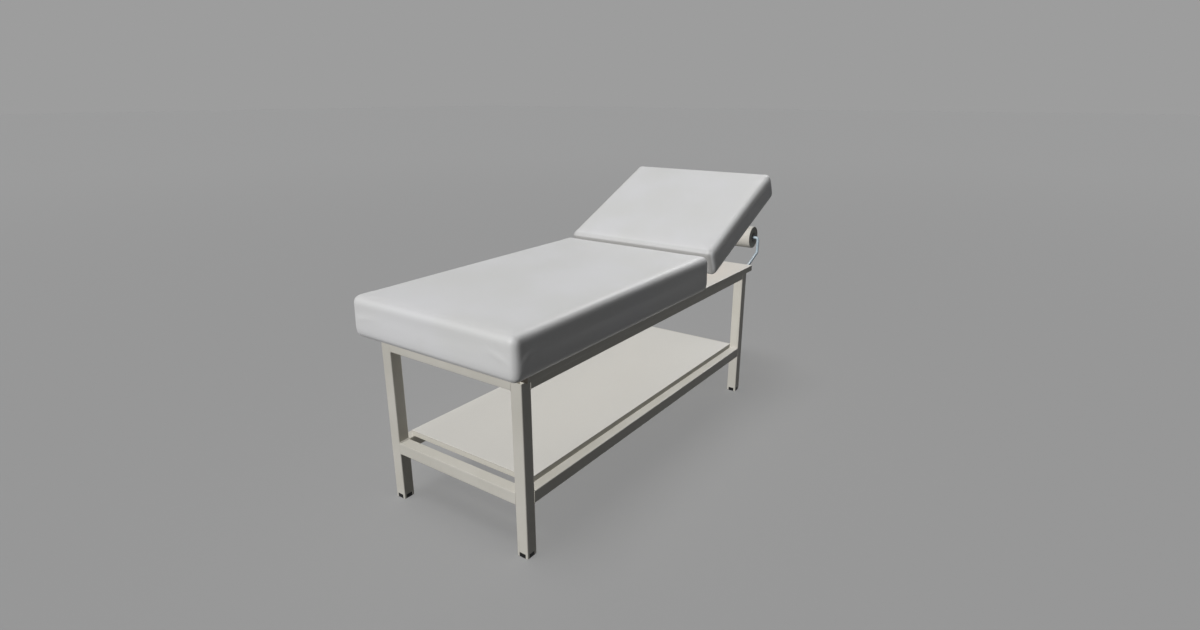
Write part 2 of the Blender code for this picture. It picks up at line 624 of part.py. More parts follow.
def build_prop():
    """Two arms swing under the backrest, and the rod through their feet slides along slotted guides."""
    arm_outline = [stadium((0.0, 0.0), (PROP_LENGTH, 0.0), ARM_RADIUS),
                   circle((0.0, 0.0), PROP_PIN_RADIUS + RUNNING),
                   circle((PROP_LENGTH, 0.0), FOOT_ROD_RADIUS + FIT)]
    lug_low, lug_high = ARM_THICKNESS / 2 + FIT, ARM_THICKNESS / 2 + FIT + BRACKET_THICKNESS
    flange_top = BOARD_BOTTOM - FIT
    flange_low = flange_top - BRACKET_THICKNESS
    for side, sign in SIDES:
        arm_span = across(-ARM_THICKNESS / 2, ARM_THICKNESS / 2)
        arm = add_piece(f"prop_arm_{side}", plate_mesh(arm_outline, *arm_span, ALONG_Y), STEEL, PROP_AXIS)
        arm.location.y = sign * ARM_Y
        base = empty(f"bracket_place_{side}", (PROP_LENGTH, sign * ARM_Y, 0.0), BACK_AXIS)
        lug = arc((0.0, 0.0), LUG_RADIUS, math.pi, 2 * math.pi, 8)
        lug = lug + [(BRACKET_LENGTH / 2, flange_low), (BRACKET_LENGTH / 2, flange_top),
                     (-BRACKET_LENGTH / 2, flange_top), (-BRACKET_LENGTH / 2, flange_low)]
        spans = sorted((sign * lug_low, sign * lug_high))
        loops = [lug, circle((0.0, 0.0), PROP_PIN_RADIUS + RUNNING)]
        shape = plate_mesh(loops, *across(*spans), ALONG_Y)
        bracket = add_piece(f"prop_bracket_{side}", shape, STEEL, base)
        edge = sorted((sign * (lug_low + BRACKET_THICKNESS / 2), sign * (lug_low + BRACKET_FLANGE)))
        long = BRACKET_LENGTH / 2
        flange = box_mesh((-long, edge[0], flange_low), (long, edge[1], flange_top))
        combine(bracket, flange, 'UNION')
        hole_y = sign * (lug_high + lug_low + BRACKET_FLANGE) / 2
        places = [(x * BRACKET_LENGTH, hole_y, flange_low - FIT) for x in (-0.3, 0.3)]
        combine(bracket, drill_mesh(places, (0, 0, -1), BRACKET_THICKNESS * 2), 'DIFFERENCE')
        near, far = -ARM_THICKNESS / 2 - FIT, lug_high + FIT
        first, last = near - HEAD_THICKNESS, far + HEAD_THICKNESS
        shank, head = PROP_PIN_RADIUS, PROP_PIN_RADIUS + HEAD_STEP
        profile = [(0.0, last), (head, last), (head, far), (shank, far),
                   (shank, near), (head, near), (head, first), (0.0, first)]
        stand = Matrix.Rotation(-sign * math.pi / 2, 4, 'X')
        add_piece(f"prop_pin_{side}", turned_mesh(profile, 16, stand), STEEL, base)
    build_foot_rod()
    build_guides()


def build_foot_rod():
    """The rod has a head on the left, and a thread with the clamp knob on the right."""
    outer = GUIDE_Y + GUIDE_THICKNESS / 2
    head, seat, step = FOOT_ROD_RADIUS + HEAD_STEP, outer + FIT, FIT - outer
    thread_end = outer + FIT + KNOB_LENGTH + HEAD_THICKNESS
    profile = [(0.0, seat + HEAD_THICKNESS), (head, seat + HEAD_THICKNESS), (head, seat),
               (FOOT_ROD_RADIUS, seat), (FOOT_ROD_RADIUS, step), (THREAD_RADIUS, step),
               (THREAD_RADIUS, -thread_end), (0.0, -thread_end)]
    stand = Matrix.Rotation(-math.pi / 2, 4, 'X')
    add_piece("prop_foot_rod", turned_mesh(profile, 16, stand), STEEL, FOOT_AXIS)
    lobes = []
    steps = KNOB_LOBES * 6
    for angle in (2 * math.pi * i / steps for i in range(steps)):
        radius = KNOB_RADIUS - KNOB_DIP * (1 - math.cos(KNOB_LOBES * angle))
        lobes.append((radius * math.cos(angle), radius * math.sin(angle)))
    start = -outer - FIT
    loops = [lobes, circle((0.0, 0.0), THREAD_RADIUS + RUNNING)]
    knob = plate_mesh(loops, *across(start - KNOB_LENGTH, start), ALONG_Y)
    turned = add_piece("clamp_knob", knob, BLACK, FOOT_AXIS)
    rims = turned.modifiers.new("rims", 'BEVEL')
    rims.width = KNOB_RIM
    rims.segments = 2
    rims.limit_method = 'ANGLE'
    rims.angle_limit = math.radians(60)


def build_guides():
    """Slotted angles on the deck, feet turned in. The slot ends where the backrest is highest and flat."""
    near = HINGE_X + 2 * PROP_LENGTH * math.cos(BACK_TOP_ANGLE) - SLOT_SPARE
    far = HINGE_X + 2 * PROP_LENGTH + SLOT_SPARE
    end = FOOT_ROD_RADIUS + GUIDE_END
    height = SLOT_SPARE / 2 + FOOT_ROD_RADIUS
    low, high = (near - end, FIT), (far + end, GUIDE_HEIGHT)
    slot = stadium((near, HINGE_RISE), (far, HINGE_RISE), height)
    for side, sign in SIDES:
        base = empty(f"guide_place_{side}", (0.0, sign * GUIDE_Y, DECK_TOP), ROOT)
        loops = [rounded_rectangle(low, high, GUIDE_EDGE / 2), slot]
        span = across(-GUIDE_THICKNESS / 2, GUIDE_THICKNESS / 2)
        guide = add_piece(f"guide_{side}", plate_mesh(loops, *span, ALONG_Y), STEEL, base)
        ys = sorted((0.0, -sign * GUIDE_FLANGE))
        flange = box_mesh((low[0], ys[0], FIT), (high[0], ys[1], FIT + GUIDE_THICKNESS))
        combine(guide, flange, 'UNION')
        middle = (ys[0] + ys[1]) / 2
        places = [(x, middle, 2 * FIT + GUIDE_THICKNESS) for x in spread(low[0] + end, high[0] - end, 2)]
        combine(guide, drill_mesh(places, (0, 0, 1), GUIDE_THICKNESS * 2), 'DIFFERENCE')


def build_holder():
    """Paper roll holder: a plate on each head leg, and a wire that runs out, up and into the roll's hub."""
    face = FRAME_LENGTH + FIT
    plate_top = DECK_BOTTOM - PLATE_DROP
    leg_y = FRAME_WIDTH / 2 - LEG_TUBE / 2
    wire_y = ROLL_LENGTH / 2 + WIRE_CLEAR
    for side, sign in SIDES:
        low = (sign * leg_y - PLATE_WIDTH / 2, plate_top - PLATE_HEIGHT)
        high = (sign * leg_y + PLATE_WIDTH / 2, plate_top)
        outline = rounded_rectangle(low, high, PLATE_THICKNESS)
        shape = plate_mesh([outline], face, face + PLATE_THICKNESS, ALONG_X)
        plate = add_piece(f"holder_plate_{side}", shape, WIRE, ROOT)
        head_x = face + PLATE_THICKNESS + FIT
        places = [(head_x, sign * leg_y, plate_top - PLATE_HEIGHT * share) for share in PLATE_HOLES]
        combine(plate, drill_mesh(places, (1, 0, 0), PLATE_THICKNESS * 2), 'DIFFERENCE')
        start = Vector((head_x, sign * (FRAME_WIDTH / 2 - WIRE_START_IN), DECK_BOTTOM - WIRE_START_DROP))
        knee = Vector((ROLL_X, sign * wire_y, ROLL_HEIGHT - WIRE_KNEE_DROP))
        top = Vector((ROLL_X, sign * wire_y, ROLL_HEIGHT))
        stub = Vector((ROLL_X, sign * (ROLL_LENGTH / 2 - HUB_DEPTH * 0.8), ROLL_HEIGHT))
        corners = [start, start + Vector((WIRE_LEAD, 0, 0)), knee, top, stub]
        wire_piece(f"holder_arm_{side}", bent_path(corners, WIRE_BEND), WIRE_RADIUS, WIRE, ROOT)


def build_roll():
    """Paper on a card core, with a flanged hub in each end that turns on the wire's stub."""
    half = ROLL_LENGTH / 2
    span = across(-half, half)
    inner = CORE_RADIUS - CORE_WALL
    loops = [circle((0, 0), CORE_RADIUS, 24), circle((0, 0), inner, 24)]
    core = smooth_shaded(plate_mesh(loops, *span, ALONG_Y))
    add_piece("roll_core", core, CARD, ROLL_AXIS)
    loops = [circle((0, 0), ROLL_RADIUS, 40), circle((0, 0), CORE_RADIUS + FIT, 40)]
    paper = smooth_shaded(plate_mesh(loops, *span, ALONG_Y))
    add_piece("paper_roll", paper, PAPER, ROLL_AXIS)
    bore = WIRE_RADIUS + RUNNING
    for side, sign in SIDES:
        outer = half + FIT + HUB_FLANGE
        profile = [(bore, outer), (HUB_FLANGE_RADIUS, outer), (HUB_FLANGE_RADIUS, half + FIT),
                   (inner - FIT, half + FIT), (inner - FIT, half - HUB_DEPTH),
                   (bore, half - HUB_DEPTH), (bore, outer)]
        stand = Matrix.Rotation(-sign * math.pi / 2, 4, 'X')
        add_piece(f"roll_hub_{side}", turned_mesh(profile, 24, stand), BLACK, ROLL_AXIS)


def build_table():
    build_frame()
    build_panels()
    build_seat()
    build_backrest()
    build_hinges()
    build_prop()
    build_holder()
    build_roll()
    bpy.context.view_layer.update()


build_table()
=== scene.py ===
# %% [markdown]
# # An examination table, dressed
#
# The solids of this table come from its CAD model: tubes, panels, hinges, the prop and the paper
# holder. This lesson keeps those solids and gives them what a photograph would show: paint with a
# little orange peel, stuffed vinyl covers, welds, screws, staples under the backrest and a wound
# paper roll. All lengths are in metres. The table stands at the origin, with its head end towards
# +X and its right side towards -Y.

# %% Load the frame
import json
import math
import random

import bmesh
import bpy
from mathutils import Matrix, Vector

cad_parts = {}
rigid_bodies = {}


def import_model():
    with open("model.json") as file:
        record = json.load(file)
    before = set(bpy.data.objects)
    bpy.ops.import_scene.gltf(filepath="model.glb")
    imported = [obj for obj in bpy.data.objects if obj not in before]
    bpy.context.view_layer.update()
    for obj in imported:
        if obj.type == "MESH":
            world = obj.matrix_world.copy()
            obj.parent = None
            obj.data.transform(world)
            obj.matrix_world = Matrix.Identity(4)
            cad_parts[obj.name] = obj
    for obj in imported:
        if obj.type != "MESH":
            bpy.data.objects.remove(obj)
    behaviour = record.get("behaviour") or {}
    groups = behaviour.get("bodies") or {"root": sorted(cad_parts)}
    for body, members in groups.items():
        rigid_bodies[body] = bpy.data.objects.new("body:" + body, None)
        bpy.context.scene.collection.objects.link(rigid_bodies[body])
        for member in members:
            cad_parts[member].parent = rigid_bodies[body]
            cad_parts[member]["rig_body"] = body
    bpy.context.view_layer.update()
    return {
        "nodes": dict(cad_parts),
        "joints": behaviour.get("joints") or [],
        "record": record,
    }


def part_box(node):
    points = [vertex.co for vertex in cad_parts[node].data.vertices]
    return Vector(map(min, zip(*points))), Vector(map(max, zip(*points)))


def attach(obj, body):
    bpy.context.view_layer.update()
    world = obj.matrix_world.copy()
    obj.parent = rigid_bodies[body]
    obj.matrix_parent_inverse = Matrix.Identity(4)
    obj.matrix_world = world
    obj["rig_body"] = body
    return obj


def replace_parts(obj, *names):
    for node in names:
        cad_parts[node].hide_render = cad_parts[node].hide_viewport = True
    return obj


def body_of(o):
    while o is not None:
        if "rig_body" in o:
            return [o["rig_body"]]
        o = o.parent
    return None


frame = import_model()
nodes = frame["nodes"]
joints = {joint["name"]: joint for joint in frame["joints"]}
random.seed(7)


def new_object(name, data):
    """An object in the scene's own collection, at the origin."""
    made = bpy.data.objects.new(name, data)
    bpy.context.scene.collection.objects.link(made)
    return made


# %% [markdown]
# ## Camera
#
# The camera stands off the foot end's right corner, a little above the seat, and looks down the
# table. It could be placed by eye and corrected render by render. Here its place and its lens were
# worked out from the straight edges of the frame, so the perspective of the picture falls out of a
# place, two angles and a lens, and needs no shift.

# %% Camera
SENSOR_WIDTH, FOCAL_LENGTH = 36.0, 20.27    # millimetres
VIEWPOINT = (-2.1601, -1.4554, 1.3319)
TURN, DIP = math.radians(35.086), math.radians(18.108)
camera = bpy.data.cameras.new("camera")
camera.sensor_width = SENSOR_WIDTH
camera.lens = FOCAL_LENGTH
viewer = new_object("camera", camera)
sight = Vector((math.cos(TURN) * math.cos(DIP), math.sin(TURN) * math.cos(DIP), -math.sin(DIP)))
viewer.location = VIEWPOINT
viewer.rotation_euler = sight.to_track_quat('-Z', 'Y').to_euler()
bpy.context.scene.camera = viewer
print("camera at", VIEWPOINT, "lens", FOCAL_LENGTH)

# %% [markdown]
# ## Light
#
# A studio lights such a table from both ends. Large lamps would do, but suns light every piece
# alike, wherever the camera goes. The key light comes over the foot end, so the foot faces are
# bright and the long right side is in shade. A back light comes over the head end and evens out the
# seat and the leaning backrest. A third sun beside it shows only in the gloss and draws a thin
# bright line along the near edges of the cushions. None of these casts shadows, which lets the
# shelf under the deck show. A weaker light from above casts the soft shadows that seat the cushions
# on the deck and the feet on the floor.

# %% Light
KEY_FROM = (-0.855, 0.07, 0.513)
BACK_FROM = (0.865, 0.18, 0.47)
EDGE_FROM = (0.81, 0.15, 0.567)
TOP_FROM = (-0.20, 0.12, 0.972)


def add_sun(name, source, strength, spread, casts=False):
    """A sun that shines from the given direction. Its spread is in degrees."""
    lamp = bpy.data.lights.new(name, 'SUN')
    lamp.energy = strength
    lamp.angle = math.radians(spread)
    lamp.use_shadow = casts
    made = new_object(name, lamp)
    made.rotation_euler = Vector(source).to_track_quat('Z', 'Y').to_euler()
    return made


add_sun("key_light", KEY_FROM, strength=2.80, spread=16.0)
add_sun("back_light", BACK_FROM, strength=1.90, spread=16.0).visible_glossy = False
add_sun("edge_light", EDGE_FROM, strength=0.66, spread=14.0).visible_diffuse = False
add_sun("top_light", TOP_FROM, strength=0.54, spread=24.0, casts=True)
bpy.context.scene.view_settings.view_transform = 'Standard'

# %% [markdown]
# ## Shader maths
#
# A finish is a small graph of nodes. Writing it as sums and products in Python is easier to read
# than a page of links, so `Amount` wraps a socket and turns `+`, `-`, `*`, `**` and `abs` into Math
# nodes. `Graph` holds a node tree, and its `node` method makes every other kind of node, for the
# materials and for the world. `Finish` is the graph of one material.

# %% Amounts
class Amount:
    """A value in a node graph, with the usual operators."""

    def __init__(self, graph, socket):
        self.graph = graph
        self.socket = socket

    def _math(self, operation, first, second):
        return self.graph.node("ShaderNodeMath", {"operation": operation}, {0: first, 1: second})

    def __add__(self, other):
        return self._math('ADD', self, other)

    def __sub__(self, other):
        return self._math('SUBTRACT', self, other)

    def __rsub__(self, other):
        return self._math('SUBTRACT', other, self)

    def __mul__(self, other):
        return self._math('MULTIPLY', self, other)

    def __pow__(self, other):
        return self._math('POWER', self, other)

    def __abs__(self):
        return self._math('ABSOLUTE', self, 0.0)

    __radd__ = __add__
    __rmul__ = __mul__

    def larger(self, other):
        return self._math('MAXIMUM', self, other)

    def between(self, low, high):
        """0 at low, 1 at high, smooth and held outside."""
        ends = {"From Min": low, "From Max": high, "To Min": 0.0, "To Max": 1.0}
        smooth = {"interpolation_type": 'SMOOTHSTEP'}
        return self.graph.node("ShaderNodeMapRange", smooth, {"Value": self, **ends})


# %% Node graphs
class Graph:
    """A node tree that is written from Python."""

    def __init__(self, tree):
        self.tree = tree

    def plug(self, socket, value):
        if isinstance(value, Amount):
            self.tree.links.new(value.socket, socket)
        else:
            socket.default_value = value

    def node(self, kind, settings, values, out=0):
        """Any node: its settings first, then the values or links of its sockets."""
        made = self.tree.nodes.new(kind)
        for name, setting in settings.items():
            setattr(made, name, setting)
        for socket, value in values.items():
            self.plug(made.inputs[socket], value)
        return Amount(self, made.outputs[out])

    def seen(self):
        """1 for what the camera, reflections and glass see, 0 for what lights the table."""
        rays = [self.node("ShaderNodeLightPath", {}, {}, f"Is {kind} Ray")
                for kind in ("Camera", "Glossy", "Transmission")]
        return rays[0].larger(rays[1]).larger(rays[2])

    def mix_shader(self, share, first, second, output):
        mixed = self.node("ShaderNodeMixShader", {}, {0: share, 1: first, 2: second})
        self.plug(self.tree.nodes[output].inputs["Surface"], mixed)


# %% Finishes
def tone(red, green, blue):
    """A colour as it is read off a screen, 0 to 255, made linear."""
    parts = [c / 255 for c in (red, green, blue)]
    return [c / 12.92 if c <= 0.04045 else ((c + 0.055) / 1.055) ** 2.4 for c in parts] + [1.0]


class Finish(Graph):
    """One material, built from the Principled shader."""

    def __init__(self, name, colour, roughness, metallic=0.0, specular=0.5):
        self.material = bpy.data.materials.new(name)
        self.material.use_nodes = True
        super().__init__(self.material.node_tree)
        self.shader = self.tree.nodes["Principled BSDF"]
        self.set("Base Color", colour)
        self.set("Roughness", roughness)
        self.set("Metallic", metallic)
        self.set("Specular IOR Level", specular)
        self.place = self.node("ShaderNodeTexCoord", {}, {}, "Object")
        print("finish:", name)

    def set(self, socket, value):
        self.plug(self.shader.inputs[socket], value)

    def mix(self, share, first, second):
        values = {0: share, 6: first, 7: second}
        return self.node("ShaderNodeMix", {"data_type": 'RGBA'}, values, 2)

    def axis(self, name, source=None):
        return self.node("ShaderNodeSeparateXYZ", {}, {0: source or self.place}, name)

    def stretched(self, x, y, z, turn_y=0.0):
        """Object coordinates, turned about Y and then scaled along each axis."""
        values = {"Vector": self.place, "Rotation": (0.0, turn_y, 0.0)}
        turned = self.node("ShaderNodeMapping", {}, values)
        return self.node("ShaderNodeMapping", {}, {"Vector": turned, "Scale": (x, y, z)})

    def noise(self, scale, detail, source=None):
        values = {"Vector": source or self.place, "Scale": scale, "Detail": detail}
        return self.node("ShaderNodeTexNoise", {}, values)

    def cells(self, scale, feature):
        values = {"Vector": self.place, "Scale": scale}
        return self.node("ShaderNodeTexVoronoi", {"feature": feature}, values, "Distance")

    def facing(self, name):
        """How far the surface faces along one axis, 0 to 1."""
        normal = self.node("ShaderNodeNewGeometry", {}, {}, "Normal")
        return abs(self.axis(name, normal))

    def bump(self, height, distance, strength=1.0):
        values = {"Height": height, "Distance": distance, "Strength": strength}
        self.set("Normal", self.node("ShaderNodeBump", {}, values))


print("a screen grey of 128 is", round(tone(128, 128, 128)[0], 3), "in linear light")

# %% [markdown]
# ## Cream paint on the frame
#
# The tubes are powder coated. Powder flows out into a skin that is smooth but never flat, which
# shows as orange peel in the highlights. Shoes and mops scuff the lowest part of the legs and the
# lower rails, so fine streaks darken the paint there. A painted image could show this, but noise on
# Object coordinates needs no unwrapping and keeps one scale on every tube.

# %% Cream paint
SCUFF_FADE = (0.03, 0.30)    # heights between which the scuffs fade out
cream_paint = Finish("cream_paint", tone(190, 187, 179), roughness=0.42)
low_down = 1 - cream_paint.axis("Z").between(*SCUFF_FADE)
drawn_out = cream_paint.stretched(160.0, 160.0, 26.0)
streaks = cream_paint.noise(scale=1.0, detail=4.0, source=drawn_out).between(0.60, 0.78)
scuffs = streaks * low_down * 0.30
clouds = cream_paint.noise(scale=7.0, detail=3.0).between(0.35, 0.7)
paint_colour = cream_paint.mix(clouds, tone(189, 186, 177), tone(194, 191, 183))
cream_paint.set("Base Color", cream_paint.mix(scuffs, paint_colour, tone(120, 114, 104)))
cream_paint.set("Roughness", 0.38 + clouds * 0.08 + scuffs * 0.3)
orange_peel = cream_paint.noise(scale=420.0, detail=1.0)
cream_paint.bump(orange_peel - scuffs * 0.5, distance=0.00012)

# %% [markdown]
# ## Laminate on the deck and the shelf
#
# Both panels are boards with a thin laminate pressed on. The face has a pattern of faint specks,
# which hides scratches. The edges have a plain band in the colour of the frame, and where the sheet
# meets the band its brown core shows as a hairline. Under the seat and on its foot end the deck is
# painted the same dark brown as painted shade, where the cushion overhangs and shades it. Sheet and
# band could be separate solids, but they lie flush, so masks on height, length and facing part
# them, and the painted shade, in one finish.

# %% Laminate
LINE_DEPTH = 0.0022             # of the brown hairline, below a panel's face
LINE_FADE = (0.0002, 0.0005)    # its half width, and where it has faded out
laminate = Finish("cream_laminate", tone(205, 202, 195), roughness=0.40)
specks = laminate.noise(scale=900.0, detail=1.0).between(0.52, 0.72)
soft_clouds = laminate.noise(scale=5.0, detail=3.0).between(0.3, 0.7)
face_colour = laminate.mix(specks * 0.5, tone(209, 207, 202), tone(198, 195, 187))
along, height = laminate.axis("X"), laminate.axis("Z")
upright = 1 - laminate.facing("Z").between(0.3, 0.6)


def hairline(node):
    """A thin band just under a panel's top face."""
    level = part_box(node)[1].z - LINE_DEPTH
    return 1 - abs(height - level).between(*LINE_FADE)


core_line = (hairline("deck_panel") + hairline("shelf_panel")) * upright
laminate.set("Roughness", 0.36 + soft_clouds * 0.10 + specks * 0.06)
laminate.bump(laminate.noise(scale=1500.0, detail=1.0), distance=0.00003)

# %% Painted shade and edge band
SKIN = 0.0006    # a face's finish fades out within a few of these
SHADE_INSET, SHADE_FADE = 0.020, 0.001    # the painted shade stops this far inside the seat's board
ABOVE_SHELF = (0.5, 0.55)    # heights that part the deck from the shelf
DECK_LOW, DECK_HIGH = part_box("deck_panel")
SEAT_LOW, SEAT_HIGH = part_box("seat_board")
shade_end = SEAT_HIGH.x - SHADE_INSET
deck_face = height.between(DECK_HIGH.z - 2 * SKIN, DECK_HIGH.z - SKIN) * (1 - upright)
# painted shade: the deck's top under the seat is painted dark brown, where the cushion shades it
painted_seat_shade = deck_face * (1 - along.between(shade_end, shade_end + SHADE_FADE))
foot_face = 1 - along.between(DECK_LOW.x + 2 * SKIN, DECK_LOW.x + 3 * SKIN)
# painted shade: the deck's foot end under the cushion's overhang is painted dark brown
painted_foot_shade = foot_face * height.between(*ABOVE_SHELF)
# the dark brown paints the real hairline and the painted shade under the cushion
hairline_and_painted_shade = (core_line * 0.6).larger(painted_seat_shade).larger(painted_foot_shade)
banded = laminate.mix(upright, face_colour, tone(187, 184, 175))
laminate.set("Base Color", laminate.mix(hairline_and_painted_shade, banded, tone(48, 42, 35)))
# prints where the painted shade under the seat ends
print("bare board up to", round(shade_end, 4), "along the table")

# %% [markdown]
# ## Vinyl for the cushions
#
# Upholstery vinyl is a knitted cloth under a soft plastic skin that is rolled with a leather-like
# grain. The grain is a field of small rounded cells with fine valleys between them, about 1.5 mm
# across. It is only felt in the highlights, so it is a bump and not geometry. In the joint between
# the cushions the rolled edges are painted darker as painted shade, darkest towards the bottom of
# the joint, which shows as a thin darker line.

# %% Vinyl
vinyl = Finish("pale_grey_vinyl", tone(207, 207, 207), roughness=0.40, specular=0.45)
pebbles = vinyl.cells(620.0, 'DISTANCE_TO_EDGE').between(0.0, 0.16)
fine_grain = vinyl.noise(scale=2200.0, detail=2.0)
handled = vinyl.noise(scale=4.0, detail=4.0).between(0.35, 0.7)
vinyl_colour = vinyl.mix(handled, tone(206, 206, 205), tone(209, 209, 210))
vinyl.set("Roughness", 0.36 + handled * 0.08 + (1 - pebbles) * 0.10)
vinyl.bump(pebbles + fine_grain * 0.25, distance=0.00010, strength=0.8)

# %% Painted shade in the joint
PAST_SEAT, BEFORE_BACK = (-0.024, -0.010), (0.035, 0.055)    # along, from the hinge axis
ROLLED, DEEP = (0.008, 0.018), (-0.0045, 0.0005)             # up, from the top of the seat
HINGE = Vector(joints["backrest_tilt"]["pos_m"])
SEAT_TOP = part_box("seat_cushion")[1].z


def rising(amount, zero, span):
    """0 to 1 over a span that is measured from zero."""
    return amount.between(zero + span[0], zero + span[1])


along_seat, up = vinyl.axis("X"), vinyl.axis("Z")
past_seat = rising(along_seat, HINGE.x, PAST_SEAT)
before_back = 1 - rising(along_seat, HINGE.x, BEFORE_BACK)
in_joint = past_seat * before_back * (1 - vinyl.facing("Y").between(0.5, 0.8))
rolled, deep = (1 - rising(up, SEAT_TOP, span) for span in (ROLLED, DEEP))
# painted shade: the rolled edges in the joint are darkened, and darker still near the seat's top
painted_joint_shade = in_joint * (rolled * 0.40 + deep * 0.50)
vinyl.set("Base Color", vinyl.mix(painted_joint_shade, vinyl_colour, tone(158, 157, 155)))
print("joint at", round(HINGE.x, 4), "along, seat top at", round(SEAT_TOP, 4))

# %% [markdown]
# ## Plywood and battens
#
# The backrest's board and battens are bare timber, seen only from behind. Grain could come from
# bands of rings cut at a slant, but noise drawn out lengthwise gives the same streaks more simply.
# It runs along the backrest, which leans back at rest, so the pattern is turned with it.

# %% Plywood
LEAN = math.radians(-joints["backrest_tilt"]["range_deg"][0])    # flat is the lowest tilt
plywood = Finish("plywood", tone(205, 172, 128), roughness=0.62)
lengthwise = plywood.stretched(3.0, 46.0, 46.0, LEAN)
grain = plywood.noise(scale=1.0, detail=6.0, source=lengthwise).between(0.3, 0.75)
thin_lines = plywood.stretched(40.0, 900.0, 900.0, LEAN)
pores = plywood.noise(scale=1.0, detail=2.0, source=thin_lines).between(0.62, 0.75)
timber = plywood.mix(grain, tone(214, 184, 142), tone(188, 150, 104))
plywood.set("Base Color", plywood.mix(pores * 0.5, timber, tone(138, 100, 62)))
plywood.set("Roughness", 0.58 + grain * 0.12)
plywood.bump(grain * -0.6 - pores, distance=0.00012)

# %% [markdown]
# ## Zinc plate
#
# The hinges, the prop and the screws are zinc-plated, a bright metal with a cloudy, slightly
# blue-yellow bloom. Metallic is 1, so the colour tints the reflections. One even colour would pass
# for chrome, so a soft noise moves colour and roughness together, as the bloom does. Fine lines
# along the strip are a shallow bump.

# %% Zinc plate
zinc = Finish("zinc_plate", tone(186, 189, 192), roughness=0.36, metallic=1.0)
bloom = zinc.noise(scale=60.0, detail=3.0).between(0.35, 0.7)
strip_lines = zinc.stretched(60.0, 1400.0, 1400.0)
zinc.set("Base Color", zinc.mix(bloom, tone(176, 181, 187), tone(196, 194, 186)))
zinc.set("Roughness", 0.30 + bloom * 0.14)
zinc.bump(zinc.noise(scale=1.0, detail=2.0, source=strip_lines), distance=0.00002)

# %% [markdown]
# ## Coat of the wire
#
# The paper holder is bent from steel wire with a pale blue-grey coat. A clear coat over metal would
# show the steel, but this coat is opaque, so it is a plain finish with a faint haze.

# %% Wire coat
wire_coat = Finish("wire_coat", tone(166, 181, 190), roughness=0.34)
wire_haze = wire_coat.noise(scale=90.0, detail=3.0).between(0.35, 0.7)
wire_coat.set("Base Color", wire_coat.mix(wire_haze, tone(161, 177, 187), tone(171, 185, 194)))
wire_coat.set("Roughness", 0.30 + wire_haze * 0.10)
wire_coat.bump(wire_coat.noise(scale=700.0, detail=1.0), distance=0.00004)

# %% [markdown]
# ## Black plastic and rubber
#
# Feet, hubs and knob are black plastic, moulded with an even fine texture. The bumpers are rubber,
# duller and a little dusty. The texture is far finer than any mesh, so noise stands for it: the
# same grain moves the plastic's colour, its gloss and its bump.

# %% Black plastic and rubber
black_plastic = Finish("black_plastic", tone(15, 15, 16), roughness=0.30, specular=0.3)
moulding = black_plastic.noise(scale=1600.0, detail=1.0)
black_plastic.set("Base Color", black_plastic.mix(moulding, tone(11, 11, 12), tone(18, 18, 19)))
black_plastic.set("Roughness", 0.24 + moulding * 0.16)
black_plastic.bump(moulding, distance=0.00004)
rubber = Finish("black_rubber", tone(32, 31, 30), roughness=0.80)
dust = rubber.noise(scale=240.0, detail=3.0).between(0.4, 0.75)
rubber.set("Base Color", rubber.mix(dust, tone(28, 27, 26), tone(46, 44, 42)))
rubber.bump(rubber.noise(scale=900.0, detail=2.0), distance=0.00006)

# %% [markdown]
# ## Paper and card
#
# Table paper is a soft crepe, wound on a cardboard core. On the ends of the roll the edges of its
# layers show as fine rings, and on its round face there are small wrinkles. The rings could be
# modelled one by one, but there are hundreds, so noise on the distance from the roll's axis draws
# them, and a mask on the way the face looks parts the two.

# %% Paper and card
ROLL = Vector(joints["paper_roll_spin"]["pos_m"])
paper = Finish("table_paper", tone(198, 196, 190), roughness=0.80, specular=0.2)
from_axis = ((paper.axis("X") - ROLL.x) ** 2.0 + (paper.axis("Z") - ROLL.z) ** 2.0) ** 0.5
outwards = paper.node("ShaderNodeCombineXYZ", {}, {"X": from_axis * 2600.0})
layers = paper.noise(scale=1.0, detail=3.0, source=outwards)
crepe = paper.noise(scale=1.0, detail=3.0, source=paper.stretched(900.0, 130.0, 900.0))
end_face = paper.facing("Y").between(0.5, 0.8)
edge_colour = paper.mix(layers.between(0.35, 0.7), tone(166, 164, 157), tone(198, 196, 189))
side_colour = paper.mix(crepe, tone(184, 182, 176), tone(195, 193, 187))
paper.set("Base Color", paper.mix(end_face, side_colour, edge_colour))
paper.set("Roughness", 0.78 + crepe * 0.12)
paper.bump(crepe * (1 - end_face) + layers * end_face, distance=0.00015)
card = Finish("brown_card", tone(156, 122, 84), roughness=0.85)
fibres = card.noise(scale=1.0, detail=4.0, source=card.stretched(500.0, 90.0, 500.0))
card.set("Base Color", card.mix(fibres, tone(142, 109, 73), tone(172, 138, 98)))
card.bump(fibres, distance=0.0001)

# %% [markdown]
# ## Finishes on the solids
#
# Every CAD node that stays in sight takes one of these finishes. They could be assigned node by
# node, but the record's slots already group the nodes by what they are made of, so one table from
# slot to finish covers them all.

# %% Dress the solids
finishes = {"cream_paint": cream_paint, "cream_laminate": laminate, "grey_vinyl": vinyl,
            "plywood": plywood, "zinc_steel": zinc, "wire_paint": wire_coat,
            "black_plastic": black_plastic, "black_rubber": rubber, "paper": paper, "card": card}
slot_of = {part["node"]: part["material_slot"] for part in frame["record"]["subparts"]}
for name, obj in nodes.items():
    obj.data.materials.clear()
    obj.data.materials.append(finishes[slot_of[name]].material)
print("dressed nodes:", len(slot_of))

